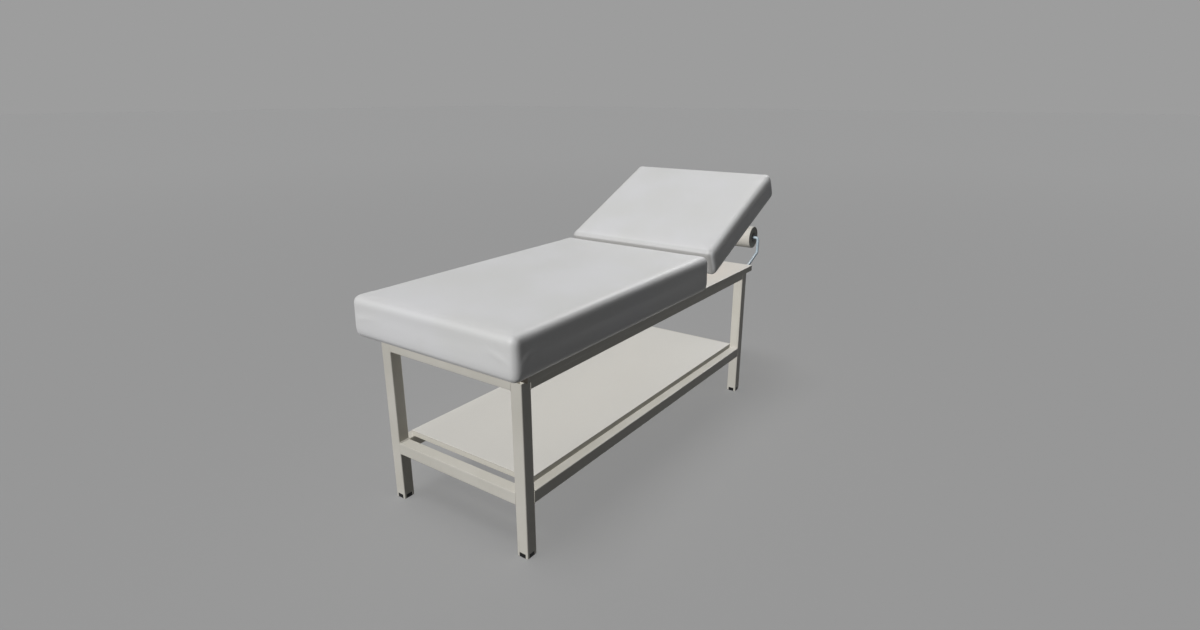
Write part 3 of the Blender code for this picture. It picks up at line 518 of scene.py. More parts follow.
# %% [markdown]
# ## New pieces
#
# Every new piece starts as a bmesh, ends as an object at the origin with its place in its mesh, and
# rides on one of the table's bodies. This helper does the last steps once for all of them. Pieces
# of the backrest are drawn lying flat, with the hinge axis at the origin, and then leaned back,
# which keeps their numbers plain.

# %% Piece helpers
LEANED = Matrix.Translation(HINGE) @ Matrix.Rotation(-LEAN, 4, 'Y')
CRISP = math.radians(35)    # edges above this angle stay sharp
CLEAR = 0.0001              # room between a new piece and the solid that carries it
SIDES = ("left", "right")
BOTH = (-1, 1)


def add_piece(name, bm, slot, body):
    """Turns a bmesh into a finished piece that rides on a body."""
    mesh = bpy.data.meshes.new(name)
    bm.to_mesh(mesh)
    bm.free()
    mesh.materials.append(finishes[slot].material)
    mesh.shade_smooth()
    mesh.set_sharp_from_angle(angle=CRISP)
    made = new_object(name, mesh)
    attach(made, body)
    print(name, "on", body, "with", len(mesh.polygons), "faces")
    return made


def lying_box(node):
    """The lowest and highest corners of a backrest node as it lies flat."""
    points = [LEANED.inverted() @ v.co for v in nodes[node].data.vertices]
    return [Vector([pick(p[i] for p in points) for i in range(3)]) for pick in (min, max)]


def edges_of(verts):
    """The edges at the given vertices, each once, in a fixed order."""
    return list(dict.fromkeys(edge for vert in verts for edge in vert.link_edges))


print("backrest leans", round(math.degrees(LEAN), 1), "degrees")

# %% [markdown]
# ## Round pieces
#
# The solids are made of flat facets, which show on bent wire, pins, rods and turned pieces. Finer
# solids would mend that, and so would a curve with a round section. The short way is a skin for
# each: a copy whose loose triangles are merged, so that it can be shaded across its facets, with
# its crisp edges kept.

# %% Round pieces
PAIRED = ("holder_arm", "back_bumper", "hinge_pin", "prop_pin", "roll_hub")
ROUND = [f"{name}_{side}" for name in PAIRED for side in SIDES]
ROUND += ["prop_foot_rod", "clamp_knob", "roll_core"]
MERGE = 1e-6    # points closer than this become one
for name in ROUND:
    skin = bmesh.new()
    skin.from_mesh(nodes[name].data)
    bmesh.ops.remove_doubles(skin, verts=skin.verts, dist=MERGE)
    body = body_of(nodes[name])[0]
    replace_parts(add_piece(name + "_skin", skin, slot_of[name], body), name)

# %% [markdown]
# ## Stuffed covers
#
# Each cushion is foam glued to a board, with vinyl pulled over it and stapled underneath. The vinyl
# is under tension: the top is slightly crowned, and the edges roll over softly. A bevelled box
# would be too even. A cloth simulation makes the real form: the CAD cushion is remeshed into even
# quads, its underside is pinned where the board and the deck hold it, and a little air pressure
# rounds the rest. A cap on the movement keeps it true to size.

# %% Even quads
VOXEL = 0.0065
NEAR = 1e-5    # points closer than this are at the same place


def cushion_grid(node, undo):
    """A copy of a cushion solid, laid flat and remeshed into even quads."""
    mesh = nodes[node].data.copy()
    mesh.transform(undo)
    bm = bmesh.new()
    bm.from_mesh(mesh)
    bmesh.ops.remove_doubles(bm, verts=bm.verts, dist=NEAR)
    bm.to_mesh(mesh)
    bm.free()
    blank = new_object(node + "_cover", mesh)
    remesh = blank.modifiers.new("even_quads", 'REMESH')
    remesh.mode = 'VOXEL'
    remesh.voxel_size = VOXEL
    graph = bpy.context.evaluated_depsgraph_get()
    even = bpy.data.meshes.new_from_object(blank.evaluated_get(graph))
    blank.modifiers.clear()
    blank.data = even
    return blank


def ease(obj, held):
    """Smooths the stair steps that the voxels leave, away from the held underside."""
    bm = bmesh.new()
    bm.from_mesh(obj.data)
    loose = [v for v in bm.verts if v.co.z > held]
    bmesh.ops.smooth_vert(bm, verts=loose, factor=0.5,
                          use_axis_x=True, use_axis_y=True, use_axis_z=True)
    bm.to_mesh(obj.data)
    bm.free()


print("quads of about", VOXEL * 1000, "mm")

# %% Air pressure
STEPS = 20
PRESSURE = 4.0
PIN_FADE = 0.060       # the pins let go over this height
MOST_MOVED = 0.0025    # no point moves further than this


def inflate(obj, held):
    """Blows the cover up a little as cloth, pinned below the held level and ever less above it."""
    rest = [v.co.copy() for v in obj.data.vertices]
    pins = obj.vertex_groups.new(name="pinned")
    for i, co in enumerate(rest):
        grip = min(1.0, 1.0 - (co.z - held) / PIN_FADE)
        if grip > 0.0:
            pins.add([i], grip, 'REPLACE')
    cloth = obj.modifiers.new("cloth", 'CLOTH')
    cloth.settings.quality = 4
    cloth.settings.mass = 0.4
    cloth.settings.tension_stiffness = 40
    cloth.settings.compression_stiffness = 40
    cloth.settings.bending_stiffness = 4
    cloth.settings.use_pressure = True
    cloth.settings.uniform_pressure_force = PRESSURE
    cloth.settings.vertex_group_mass = "pinned"
    cloth.settings.effector_weights.gravity = 0.0
    cloth.collision_settings.use_collision = False
    cloth.collision_settings.use_self_collision = False
    cloth.point_cache.frame_start = 1
    cloth.point_cache.frame_end = STEPS
    for step in range(1, STEPS + 1):
        bpy.context.scene.frame_set(step)
    graph = bpy.context.evaluated_depsgraph_get()
    blown = bpy.data.meshes.new_from_object(obj.evaluated_get(graph))
    obj.modifiers.clear()
    obj.vertex_groups.clear()
    bpy.context.scene.frame_set(1)
    obj.data = blown
    for vertex, before in zip(blown.vertices, rest):
        moved = vertex.co - before
        vertex.co = before + moved * (MOST_MOVED / (MOST_MOVED + moved.length))
    largest = max((v.co - r).length for v, r in zip(blown.vertices, rest))
    print(obj.name, "moved up to", round(largest * 1000, 1), "mm")


# %% Pulls along the lower edge
PULL_DEPTH, PULL_HEIGHT = 0.0003, 0.055
SIDE_DEPTH = 0.03       # a side reaches this far in from the outermost points
CORNER_REACH = 0.16     # pulls grow stronger this near to a corner


def pull_wave(run):
    """Uneven waves along a side, about one pull every 30 mm."""
    return math.sin(run * 210.0 + 2.1 * math.sin(run * 37.0)) + 0.5 * math.sin(run * 391.0 + 1.0)


def pull_in(obj, bottom):
    """Faint upright pulls where the vinyl is drawn under and stapled."""
    low = Vector(min(v.co[i] for v in obj.data.vertices) for i in range(3))
    high = Vector(max(v.co[i] for v in obj.data.vertices) for i in range(3))
    middle, half = (low + high) / 2, (high - low) / 2
    for vertex in obj.data.vertices:
        above = (vertex.co.z - bottom) / PULL_HEIGHT
        if not 0.1 < above < 1.0:
            continue
        side = vertex.co - middle
        at_end = abs(side.x) / half.x > abs(side.y) / half.y
        if at_end and half.x - abs(side.x) < SIDE_DEPTH:
            run, end, axis = side.y, half.y, 0
        elif half.y - abs(side.y) < SIDE_DEPTH:
            run, end, axis = side.x, half.x, 1
        else:
            continue
        near_corner = 0.45 + 0.55 * max(0.0, 1 - (end - abs(run)) / CORNER_REACH)
        swell = math.sin(math.pi * above) ** 2
        depth = PULL_DEPTH * near_corner * swell * (0.5 + 0.5 * pull_wave(run))
        vertex.co[axis] -= math.copysign(depth, side[axis])


print("pulls reach up", round(PULL_HEIGHT * 1000), "mm from the underside")

# %% Seat and backrest covers
def stuffed_cover(node, place, body, pinned_below):
    """The cover of one cushion, which stands in for its solid."""
    obj = cushion_grid(node, place.inverted())
    bottom = min(v.co.z for v in obj.data.vertices)
    held = bottom + pinned_below
    ease(obj, held)
    inflate(obj, held)
    ease(obj, held)
    pull_in(obj, bottom)
    obj.data.transform(place)
    obj.data.materials.clear()
    obj.data.materials.append(vinyl.material)
    obj.data.shade_smooth()
    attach(obj, body)
    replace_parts(obj, node)
    print(obj.name, "faces:", len(obj.data.polygons))


stuffed_cover("seat_cushion", Matrix(), "table", pinned_below=0.020)
stuffed_cover("back_cushion", LEANED, "backrest", pinned_below=0.050)

# %% [markdown]
# ## Hem and staples
#
# Under the backrest the vinyl is folded round the battens and stapled. The hem is a flat strip
# along the battens that stops short of the hinge straps and the bumpers. A cloth simulation would
# be wasted on a strip a millimetre thick, so each is a box with a slightly uneven cut edge, and the
# staples sit along its middle. The seat has the same hem where its foot end stands out over the
# deck.

# %% Hem strips
HEM_THICKNESS = 0.0011
HEM_STEP = 0.012       # between the cuts that make the edge uneven


def ragged(run):
    """How far the cut edge wanders."""
    return 0.0009 * math.sin(run * 173.0) + 0.0006 * math.sin(run * 61.0)


def add_strip(bm, low, high, level):
    """A strip of vinyl under a board, hanging down from a level, with an uneven edge."""
    size = Vector((high[0] - low[0], high[1] - low[1], HEM_THICKNESS))
    centre = Vector((low[0] + high[0], low[1] + high[1], 2 * level - HEM_THICKNESS)) / 2
    made = bmesh.ops.create_cube(bm, size=1.0)["verts"]
    bmesh.ops.scale(bm, vec=size, verts=made)
    bmesh.ops.translate(bm, vec=centre, verts=made)
    run = 0 if size.x > size.y else 1
    cross = 1 - run
    rungs = [e for e in edges_of(made)
             if abs(e.verts[0].co[run] - e.verts[1].co[run]) > size[run] / 2]
    bmesh.ops.subdivide_edges(bm, edges=rungs, cuts=max(4, round(size[run] / HEM_STEP)))
    edge = min(low[cross], high[cross], key=abs)
    for vert in bm.verts:
        inside = all(a - NEAR < c < b + NEAR for c, a, b in zip(vert.co, low, high))
        at_level = abs(vert.co.z - level) < 2 * HEM_THICKNESS
        if inside and at_level and abs(vert.co[cross] - edge) < NEAR:
            vert.co[cross] += ragged(vert.co[run])


print("cut edge 0.1 m along is off by", round(ragged(0.1) * 1000, 2), "mm")

# %% Staples
STAPLE_PITCH = 0.030
STAPLE_SIZE = (0.0105, 0.0010, 0.0007)
STAPLE_BEVEL = 0.0002
STRAY, SLANT = 0.003, 0.12    # how far a staple is off its place and its line


def add_staples(bm, low, high, level):
    """Wire staples along the middle of a strip."""
    run = 0 if high[0] - low[0] > high[1] - low[1] else 1
    count = max(1, round((high[run] - low[run]) / STAPLE_PITCH))
    for i in range(count):
        place = Vector(((low[0] + high[0]) / 2, (low[1] + high[1]) / 2, level))
        place[run] = low[run] + (high[run] - low[run]) * (i + 0.5) / count
        place[run] += random.uniform(-STRAY, STRAY)
        crown = bmesh.ops.create_cube(bm, size=1.0)["verts"]
        bmesh.ops.scale(bm, vec=STAPLE_SIZE, verts=crown)
        rounded = bmesh.ops.bevel(bm, geom=edges_of(crown), offset=STAPLE_BEVEL, segments=1,
                                  profile=0.5, affect='EDGES', material=-1)["verts"]
        turned = Matrix.Rotation(run * math.pi / 2 + random.uniform(-SLANT, SLANT), 4, 'Z')
        bmesh.ops.transform(bm, matrix=Matrix.Translation(place) @ turned, verts=rounded)


print("staples every", round(STAPLE_PITCH * 1000), "mm")

# %% Backrest hem
HEM_WIDTH, SIDE_HEM_WIDTH = 0.030, 0.031
HEM_OUT, HINGE_HEM_OUT = 0.012, 0.011    # how far the fold stands out from the board
HEM_GAP, STRAP_ROOM, BUMPER_ROOM = 0.0005, 0.002, 0.003
board_low, board_high = lying_box("back_board")
strap_low, strap_high = lying_box("hinge_strap_left")
bumper_low, bumper_high = lying_box("back_bumper_left")
BATTEN_UNDER = lying_box("back_batten_hinge")[0].z - CLEAR
hem_y = board_high.y + HEM_OUT
side_y = hem_y - SIDE_HEM_WIDTH
hinge_start, head_end = board_low.x - HINGE_HEM_OUT, board_high.x + HEM_OUT
hinge_end, head_start = hinge_start + HEM_WIDTH, head_end - HEM_WIDTH
side_runs = ((hinge_end + HEM_GAP, bumper_low.x - BUMPER_ROOM),
             (bumper_high.x + BUMPER_ROOM, head_start - HEM_GAP))
inner_y, outer_y = strap_low.y - STRAP_ROOM, strap_high.y + STRAP_ROOM
hinge_runs = ((-hem_y, -outer_y), (-inner_y, inner_y), (outer_y, hem_y))
BACK_HEM = [((start, a), (end, b)) for start, end in side_runs
            for a, b in ((-hem_y, -side_y), (side_y, hem_y))]
BACK_HEM += [((hinge_start, a), (hinge_end, b)) for a, b in hinge_runs]
BACK_HEM += [((head_start, -hem_y), (head_end, hem_y))]
hem, staples = bmesh.new(), bmesh.new()
for low, high in BACK_HEM:
    add_strip(hem, low, high, BATTEN_UNDER)
    add_staples(staples, low, high, BATTEN_UNDER - HEM_THICKNESS)
for bm in (hem, staples):
    bmesh.ops.recalc_face_normals(bm, faces=bm.faces)
    bmesh.ops.transform(bm, matrix=LEANED, verts=bm.verts)
add_piece("back_hem", hem, "grey_vinyl", "backrest")
add_piece("back_staples", staples, "zinc_steel", "backrest")

# %% Seat hem at the foot end
SEAT_HEM_OUT, DECK_ROOM, STAPLE_ROW = 0.0135, 0.003, 0.021
SEAT_UNDER = SEAT_LOW.z - CLEAR
hem_low = (SEAT_LOW.x - SEAT_HEM_OUT, -hem_y)
hem_high = (DECK_LOW.x - DECK_ROOM, hem_y)
row = DECK_LOW.x - STAPLE_ROW
seat_hem, seat_staples = bmesh.new(), bmesh.new()
add_strip(seat_hem, hem_low, hem_high, SEAT_UNDER)
add_staples(seat_staples, (row, -hem_y), (row, hem_y), SEAT_UNDER - HEM_THICKNESS)
for bm in (seat_hem, seat_staples):
    bmesh.ops.recalc_face_normals(bm, faces=bm.faces)
add_piece("seat_hem", seat_hem, "grey_vinyl", "table")
add_piece("seat_staples", seat_staples, "zinc_steel", "table")

# %% [markdown]
# ## Screws
#
# Pan-head screws with a cross recess hold the hinges, the guides, the brackets and the holder's
# plates, and bolts hold the seat, the deck and the shelf from below. The head is a turned profile.
# A recess cut with a boolean would leave a rough mesh. Here it starts as two plain rings, and their
# points are then pushed into a cross, which keeps the head one closed skin. The places are worked
# out from the boxes of the nodes, where the solids have their holes.

# %% Screw head
HEAD_SIDES = 24
QUARTER = HEAD_SIDES // 4


def cross_point(index, arm):
    """Points round a cross, six to a quarter, as the rings of the recess have."""
    narrow = arm * 0.30
    middle = (arm + narrow) / 2
    quarter = [(arm, 0.0), (arm, narrow), (middle, narrow),
               (narrow, narrow), (narrow, middle), (narrow, arm)]
    x, y = quarter[index % QUARTER]
    return Matrix.Rotation(index // QUARTER * math.pi / 2, 3, 'Z') @ Vector((x, y, 0.0))


def screw_mesh(radius, rise):
    """A pan head with a cross recess, standing on the origin."""
    arm, floor_arm, floor_rise = radius * 0.62, radius * 0.50, rise * 0.35
    profile = [(0.0, 0.0), (radius, 0.0), (radius, rise * 0.35), (radius * 0.92, rise * 0.72),
               (radius * 0.76, rise * 0.95), (arm, rise), (floor_arm, floor_rise),
               (0.0, rise * 0.30)]
    bm = bmesh.new()
    line = [bm.verts.new((r, 0.0, z)) for r, z in profile]
    for a, b in zip(line, line[1:]):
        bm.edges.new((a, b))
    bmesh.ops.spin(bm, geom=bm.verts[:] + bm.edges[:], cent=(0, 0, 0), axis=(0, 0, 1),
                   angle=2 * math.pi, steps=HEAD_SIDES, use_merge=True)
    bmesh.ops.remove_doubles(bm, verts=bm.verts, dist=MERGE)
    for vert in bm.verts:
        for ring in (arm, floor_arm):
            if abs(vert.co.xy.length - ring) < MERGE:
                share = math.atan2(vert.co.y, vert.co.x) / (2 * math.pi)
                vert.co.xy = cross_point(round(share * HEAD_SIDES) % HEAD_SIDES, ring).xy
                break
    bmesh.ops.recalc_face_normals(bm, faces=bm.faces)
    mesh = bpy.data.meshes.new("screw_head")
    bm.to_mesh(mesh)
    bm.free()
    return mesh


small_head = screw_mesh(0.0034, 0.0021)
low_head = screw_mesh(0.0032, 0.0015)
bolt_head = screw_mesh(0.0055, 0.0035)
print("screw head faces:", len(small_head.polygons))

# %% Rows of screws
UP, DOWN, OUT = (0, 0, 1), (0, 0, -1), (1, 0, 0)


def add_screws(bm, head, places, facing):
    """Copies of a head at the given places, each turned its own way about the screw's axis."""
    faced = Vector(UP).rotation_difference(Vector(facing)).to_matrix().to_4x4()
    for place in places:
        before = len(bm.verts)
        bm.from_mesh(head)
        bm.verts.ensure_lookup_table()
        spun = Matrix.Rotation(random.uniform(0.0, math.pi / 2), 4, 'Z')
        matrix = Matrix.Translation(place) @ faced @ spun
        bmesh.ops.transform(bm, matrix=matrix, verts=bm.verts[before:])


def shares(low, high, *parts):
    """Places between two ends, as shares of the way."""
    return [low + (high - low) * part for part in parts]


print("a half and a quarter of the way to 2:", shares(0.0, 2.0, 0.5, 0.25))

# %% Screws of the table
LEAF_THICKNESS, FLANGE_THICKNESS, FLANGE_WIDTH = 0.0035, 0.003, 0.018
GUIDE_END = 0.015    # from a guide's end to its screw
leaf_low, leaf_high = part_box("hinge_leaf_left")
leaf_y, leaf_hole = shares(leaf_low.y, leaf_high.y, 0.5, 0.85)
leaf_screws = [(x, side * leaf_y + way * (leaf_hole - leaf_y), leaf_low.z + LEAF_THICKNESS)
               for x in shares(HINGE.x, leaf_high.x, 0.45, 0.82) for side in BOTH for way in BOTH]
guide_low, guide_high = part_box("guide_left")
flange_y = guide_low.y + FLANGE_WIDTH / 2
guide_screws = [(x, side * flange_y, guide_low.z + FLANGE_THICKNESS)
                for x in (guide_low.x + GUIDE_END, guide_high.x - GUIDE_END) for side in BOTH]
plate_low, plate_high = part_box("holder_plate_left")
plate_y = (plate_low.y + plate_high.y) / 2
plate_screws = [(plate_high.x, side * plate_y, z)
                for z in shares(plate_low.z, plate_high.z, 0.45, 0.15) for side in BOTH]
fixed = bmesh.new()
add_screws(fixed, small_head, leaf_screws, UP)
add_screws(fixed, low_head, guide_screws, UP)
add_screws(fixed, small_head, plate_screws, OUT)
print("screws:", len(leaf_screws + guide_screws + plate_screws))

# %% Bolts of the table
BOLT_LINE = 0.2172    # of the seat's and the shelf's bolts, from the middle line
foot_leg, head_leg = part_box("leg_foot_left"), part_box("leg_head_left")
rail_low, rail_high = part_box("top_rail_left")
rail_y = (rail_low.y + rail_high.y) / 2
bearers = [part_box("shelf_bearer_foot"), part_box("shelf_bearer_head")]
seat_bolts = [(x, side * BOLT_LINE, DECK_LOW.z)
              for x in shares(SEAT_LOW.x, SEAT_HIGH.x, 0.15, 0.5, 0.85) for side in BOTH]
deck_bolts = [(x, side * rail_y, rail_low.z)
              for x in shares(foot_leg[0].x, head_leg[1].x, 0.15, 0.5, 0.85) for side in BOTH]
shelf_bolts = [((low.x + high.x) / 2, side * BOLT_LINE, low.z)
               for low, high in bearers for side in BOTH]
for bolts in (seat_bolts, deck_bolts, shelf_bolts):
    add_screws(fixed, bolt_head, bolts, DOWN)
add_piece("table_screws", fixed, "zinc_steel", "table")

# %% Screws of the backrest
STRAP_THICKNESS, BRACKET_THICKNESS, BRACKET_HOLE = 0.004, 0.004, 0.010
FIT = 0.0003    # gap that the solids keep between each other
batten_low, batten_high = lying_box("back_batten_hinge")
strap_y = (strap_low.y + strap_high.y) / 2
strap_screws = [(x, side * strap_y, batten_low.z - FIT - STRAP_THICKNESS)
                for x in shares(batten_low.x, batten_high.x, 0.2, 0.5, 0.8) for side in BOTH]
bracket_low, bracket_high = lying_box("prop_bracket_left")
bracket_y = bracket_high.y - BRACKET_HOLE
bracket_screws = [(x, side * bracket_y, bracket_high.z - BRACKET_THICKNESS)
                  for x in shares(bracket_low.x, bracket_high.x, 0.2, 0.8) for side in BOTH]
tilting = bmesh.new()
add_screws(tilting, small_head, strap_screws, DOWN)
add_screws(tilting, small_head, bracket_screws, DOWN)
bmesh.ops.transform(tilting, matrix=LEANED, verts=tilting.verts)
add_piece("backrest_screws", tilting, "zinc_steel", "backrest")

# %% [markdown]
# ## Welds
#
# The frame's tubes are welded where they meet. Outer faces are ground nearly flush before painting,
# so a faint seam is left there, and whole beads only in the inner corners and underneath. A bump
# map could hint at a bead, but its outline would stay straight. Here a bead is a quarter-round
# fillet, pushed along its corner in short steps, and each step swells or shrinks a little, which
# gives the ripples of a weld.

# %% Weld bead
BEAD = 0.0030              # radius of the fillet
RIPPLE = 0.0013            # length of one step
ARC_STEPS = 5
SUNK = 0.0004              # the fillet's back is this deep in the corner
CAP_SIZE = 0.6             # a bead tapers to this share at its ends
SWELL, UNEVEN = 0.06, 0.02


def add_bead(bm, start, end, first, second):
    """A rippled fillet along the corner between two faces that look along first and second."""
    start, end, first, second = (Vector(v) for v in (start, end, first, second))
    run = end - start
    count = max(6, round(run.length / RIPPLE))
    angles = [math.pi / 2 * i / ARC_STEPS for i in range(ARC_STEPS + 1)]
    section = [(first + second) * -SUNK]
    section += [(first * math.cos(a) + second * math.sin(a)) * BEAD for a in angles]
    cap = bm.faces.new([bm.verts.new(start + p * CAP_SIZE) for p in section])
    for i in range(count):
        made = bmesh.ops.extrude_face_region(bm, geom=[cap, *cap.edges])["geom"]
        cap = next(g for g in made if isinstance(g, bmesh.types.BMFace))
        here = start + run * (i + 1) / count
        taper = CAP_SIZE if i == count - 1 else 1.0
        size = taper * (1.0 + SWELL * math.sin(i * 1.4) + random.uniform(-UNEVEN, UNEVEN))
        for vert, point in zip(cap.verts, section):
            vert.co = here + point * size


print("ripples in a bead of 40 mm:", round(0.040 / RIPPLE))

# %% Ground seam
SEAM_WIDTH, SEAM_RISE, SEAM_DEPTH = 0.0022, 0.00015, 0.001


def add_seam(bm, one, other):
    """A weld ground down to a thin rounded strip between two opposite corners."""
    low, high = (Vector(map(pick, one, other)) for pick in (min, max))
    made = bmesh.ops.create_cube(bm, size=1.0)["verts"]
    bmesh.ops.scale(bm, vec=high - low, verts=made)
    bmesh.ops.translate(bm, vec=(low + high) / 2, verts=made)
    bmesh.ops.bevel(bm, geom=edges_of(made), offset=SEAM_RISE * 0.8, segments=2, profile=0.5,
                    affect='EDGES', material=-1)


print("a ground seam stands out by", round(SEAM_RISE * 1000, 2), "mm")

# %% Corners of the frame
# How far a bead stops short: of a tube's corner, a thin tube's corner, the outer face, the deck.
SETBACK, THIN_SETBACK, EDGE_SETBACK, DECK_SETBACK = 0.0014, 0.0012, 0.0015, 0.0010
SEAM_SETBACK = 0.0005      # from a seam to the deck
LEG_IN, LEG_OUT, TOP_IN = foot_leg[0].y, foot_leg[1].y, rail_low.y
LEG_WIDTH = foot_leg[1].x - foot_leg[0].x
LOW_UNDER, LOW_TOP = (corner.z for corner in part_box("lower_rail_left"))
TOP_UNDER, TOP_TOP = rail_low.z, rail_high.z
LOW_RUN = (LOW_UNDER + SETBACK, LOW_TOP - SETBACK)
TOP_RUN = (TOP_UNDER + SETBACK, TOP_TOP - DECK_SETBACK)
SEAM_RUNS = ((LOW_UNDER + BEAD, LOW_TOP - BEAD), (TOP_UNDER + BEAD, TOP_TOP - SEAM_SETBACK))
ENDS = ((foot_leg[1].x, 1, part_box("top_rail_foot")[1].x),
        (head_leg[0].x, -1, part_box("top_rail_head")[0].x))
print("tubes of", round(LEG_WIDTH, 4), "with rails at", round(LOW_TOP, 4), round(TOP_TOP, 4))

# %% Welds at the legs
half = SEAM_WIDTH / 2
welds = bmesh.new()
for x, inward, end_rail in ENDS:
    for side in BOTH:
        ahead, into = (inward, 0, 0), (0, -side, 0)
        leg_y, top_y, edge_y = side * LEG_IN, side * TOP_IN, side * (LEG_OUT - EDGE_SETBACK)
        start_y, thin_y = side * (LEG_IN + SETBACK), side * (TOP_IN + THIN_SETBACK)
        sunk_y, proud_y = side * (LEG_OUT - SEAM_DEPTH), side * (LEG_OUT + SEAM_RISE)
        far = x - inward * (LEG_WIDTH - SETBACK)
        for z, out, y, near in ((LOW_TOP, UP, start_y, x), (LOW_UNDER, DOWN, start_y, x),
                                (TOP_UNDER, DOWN, thin_y, end_rail)):
            add_bead(welds, (x, y, z), (x, edge_y, z), ahead, out)
            add_bead(welds, (far, leg_y, z), (near, leg_y, z), into, out)
        face = x - inward * (LEG_WIDTH + SEAM_RISE)
        behind = face + inward * SEAM_DEPTH
        for low, high in SEAM_RUNS:
            add_seam(welds, (x - half, sunk_y, low), (x + half, proud_y, high))
            add_seam(welds, (face, leg_y - half, low), (behind, leg_y + half, high))
        for bead_x, y, (low, high) in ((x, leg_y, LOW_RUN), (x, top_y, TOP_RUN),
                                       (end_rail, leg_y, TOP_RUN)):
            add_bead(welds, (bead_x, y, low), (bead_x, y, high), ahead, into)
print("faces at the legs:", len(welds.faces))

# %% Welds at the bearers
deck_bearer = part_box("deck_bearer")
BEARERS = [(deck_bearer, TOP_IN, TOP_RUN)]
BEARERS += [((low, high), LEG_IN, (low.z + THIN_SETBACK, high.z - DECK_SETBACK))
            for low, high in bearers]
for box, rail_face, (low, high) in BEARERS:
    for side in BOTH:
        y, into = side * rail_face, (0, -side, 0)
        for corner, way in zip(box, BOTH):
            add_bead(welds, (corner.x, y, low), (corner.x, y, high), (way, 0, 0), into)
bmesh.ops.recalc_face_normals(welds, faces=welds.faces)
add_piece("frame_welds", welds, "cream_paint", "table")

# %% [markdown]
# ## Paper roll
#
# Table paper is wound on its core under light tension, so its ends are never quite flat: the
# windings stand in and out by fractions of a millimetre. A plain cylinder would look like plastic,
# and a true spiral would need far too many faces. So the roll is a turned profile whose ends step
# in and out in that way, and the paper's free edge is a thin curved sheet that lifts off the top.

# %% Wound paper
RINGS, ROLL_SIDES = 14, 96
UNEVEN_ENDS, RING_STEP, ROLL_EDGE = 0.0009, 0.0002, 0.0006
PAPER_INSET, CORE_ROOM = 0.0002, 0.0003
roll_high, core_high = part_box("paper_roll")[1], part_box("roll_core")[1]
PAPER_RADIUS = roll_high.x - ROLL.x - PAPER_INSET
PAPER_HALF = roll_high.y - PAPER_INSET
PAPER_BORE = core_high.x - ROLL.x + CORE_ROOM
profile = []
for i in range(RINGS + 1):
    radius = PAPER_BORE + (PAPER_RADIUS - PAPER_BORE) * i / RINGS
    edge = PAPER_HALF - random.uniform(0.0, UNEVEN_ENDS)
    profile += [(radius - RING_STEP, edge), (radius, edge)] if 0 < i < RINGS else [(radius, edge)]
profile[-1:] = [(PAPER_RADIUS - ROLL_EDGE, edge), (PAPER_RADIUS, edge - ROLL_EDGE)]
mirrored = [(radius, -y) for radius, y in reversed(profile)]
roll = bmesh.new()
line = [roll.verts.new((radius, y, 0.0)) for radius, y in profile + mirrored]
for a, b in zip(line, line[1:] + line[:1]):
    roll.edges.new((a, b))
bmesh.ops.spin(roll, geom=roll.verts[:] + roll.edges[:], cent=(0, 0, 0), axis=(0, 1, 0),
               angle=2 * math.pi, steps=ROLL_SIDES, use_merge=True)
bmesh.ops.remove_doubles(roll, verts=roll.verts, dist=MERGE)
bmesh.ops.recalc_face_normals(roll, faces=roll.faces)
print("roll of radius", round(PAPER_RADIUS, 4), "with", len(roll.faces), "faces")

# %% Free edge of the paper
SHEET_STEPS, SHEET_CUTS = 40, 24
SHEET_END, LIFT_START = math.radians(120), math.radians(84)    # round the roll, from +X
SHEET_LIFT, SHEET_THICKNESS, SHEET_INSET = 0.0060, 0.0003, 0.0008
sheet_radius, sheet_half = PAPER_RADIUS + PAPER_INSET, PAPER_HALF - SHEET_INSET
sheet = bmesh.new()
ends = [sheet.verts.new((sheet_radius, y, 0.0)) for y in (-sheet_half, sheet_half)]
start_edge = sheet.edges.new(ends)
bmesh.ops.subdivide_edges(sheet, edges=[start_edge], cuts=SHEET_CUTS)
bmesh.ops.spin(sheet, geom=sheet.verts[:] + sheet.edges[:], cent=(0, 0, 0), axis=(0, 1, 0),
               angle=-SHEET_END, steps=SHEET_STEPS, use_merge=False)
for vert in sheet.verts:
    angle = math.atan2(vert.co.z, vert.co.x) % (2 * math.pi)
    lift = max(0.0, (angle - LIFT_START) / (SHEET_END - LIFT_START))
    ripple = 1.0 + 0.12 * math.sin(vert.co.y * 31.0)
    outward = Vector((vert.co.x, 0.0, vert.co.z)).normalized()
    vert.co += outward * SHEET_LIFT * lift ** 2 * ripple
bmesh.ops.recalc_face_normals(sheet, faces=sheet.faces)
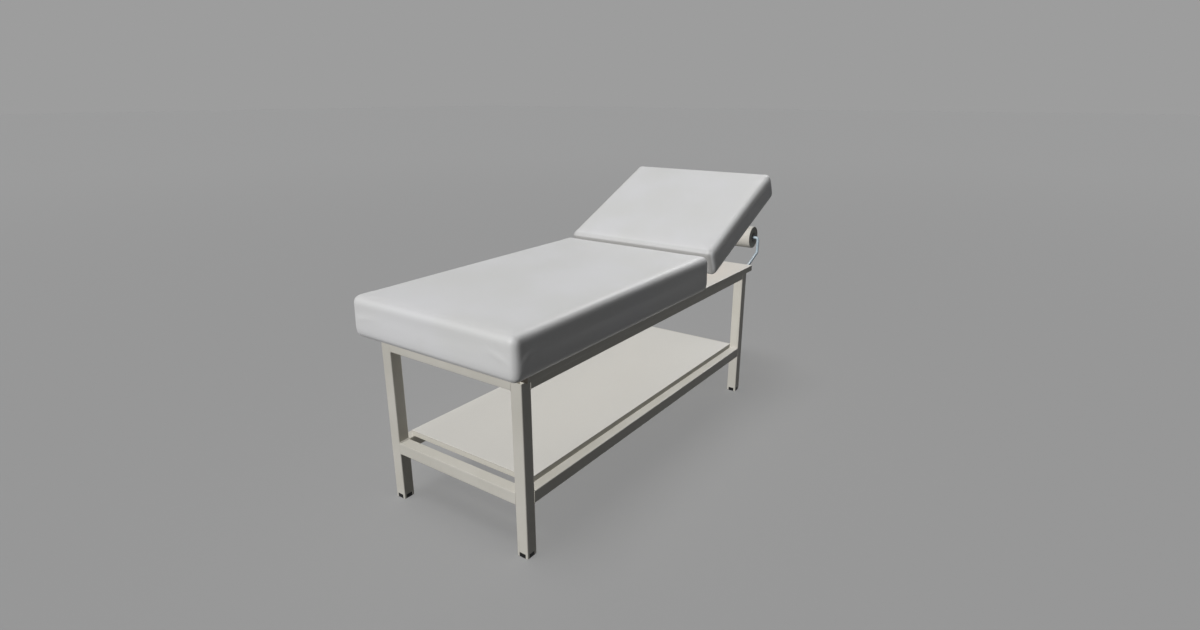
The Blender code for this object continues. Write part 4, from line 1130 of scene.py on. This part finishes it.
bmesh.ops.solidify(sheet, geom=sheet.faces[:], thickness=SHEET_THICKNESS)
sheet_mesh = bpy.data.meshes.new("free_edge")
sheet.to_mesh(sheet_mesh)
sheet.free()
roll.from_mesh(sheet_mesh)
bmesh.ops.translate(roll, vec=ROLL, verts=roll.verts)
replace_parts(add_piece("paper_winding", roll, "paper", "paper_roll"), "paper_roll")

# %% [markdown]
# ## Stage
#
# A plain grey floor runs out to the horizon and pales a little on its way, until it meets the world
# behind it in the same grey, so no line shows between them. A curved backdrop would do that too,
# but it would stand in the way of views from behind. The world's own light is faint: what the
# camera and the reflections see is set apart from what lights the table. The floor also throws back
# little light, so that the shaded side stays dark.

# %% Floor
FLOOR_SIZE = 60.0
PALING = (1.0, 14.0)    # distances between which the floor pales
bm = bmesh.new()
bmesh.ops.create_grid(bm, x_segments=1, y_segments=1, size=FLOOR_SIZE)
floor_mesh = bpy.data.meshes.new("floor")
bm.to_mesh(floor_mesh)
bm.free()
floor_finish = Finish("grey_floor", tone(156, 156, 156), roughness=0.9, specular=0.0)
reach = (floor_finish.axis("X") ** 2.0 + floor_finish.axis("Y") ** 2.0) ** 0.5
pale = floor_finish.mix(reach.between(*PALING), tone(153, 153, 153), tone(158, 158, 158))
floor_finish.set("Base Color", pale)
dull = floor_finish.node("ShaderNodeBsdfDiffuse", {}, {"Color": (0.09, 0.09, 0.09, 1.0)})
shown = Amount(floor_finish, floor_finish.shader.outputs[0])
floor_finish.mix_shader(floor_finish.seen(), dull, shown, "Material Output")
floor_mesh.materials.append(floor_finish.material)
floor = new_object("floor", floor_mesh)

# %% World
world = bpy.data.worlds.new("studio")
bpy.context.scene.world = world
world.use_nodes = True
studio = Graph(world.node_tree)
backdrop = studio.node("ShaderNodeBackground", {}, {"Color": tone(157, 157, 157)})
faint = {"Color": (0.95, 0.97, 1.0, 1.0), "Strength": 0.06}
fill = studio.node("ShaderNodeBackground", {}, faint)
studio.mix_shader(studio.seen(), fill, backdrop, "World Output")
print("stage:", floor.name, world.name)
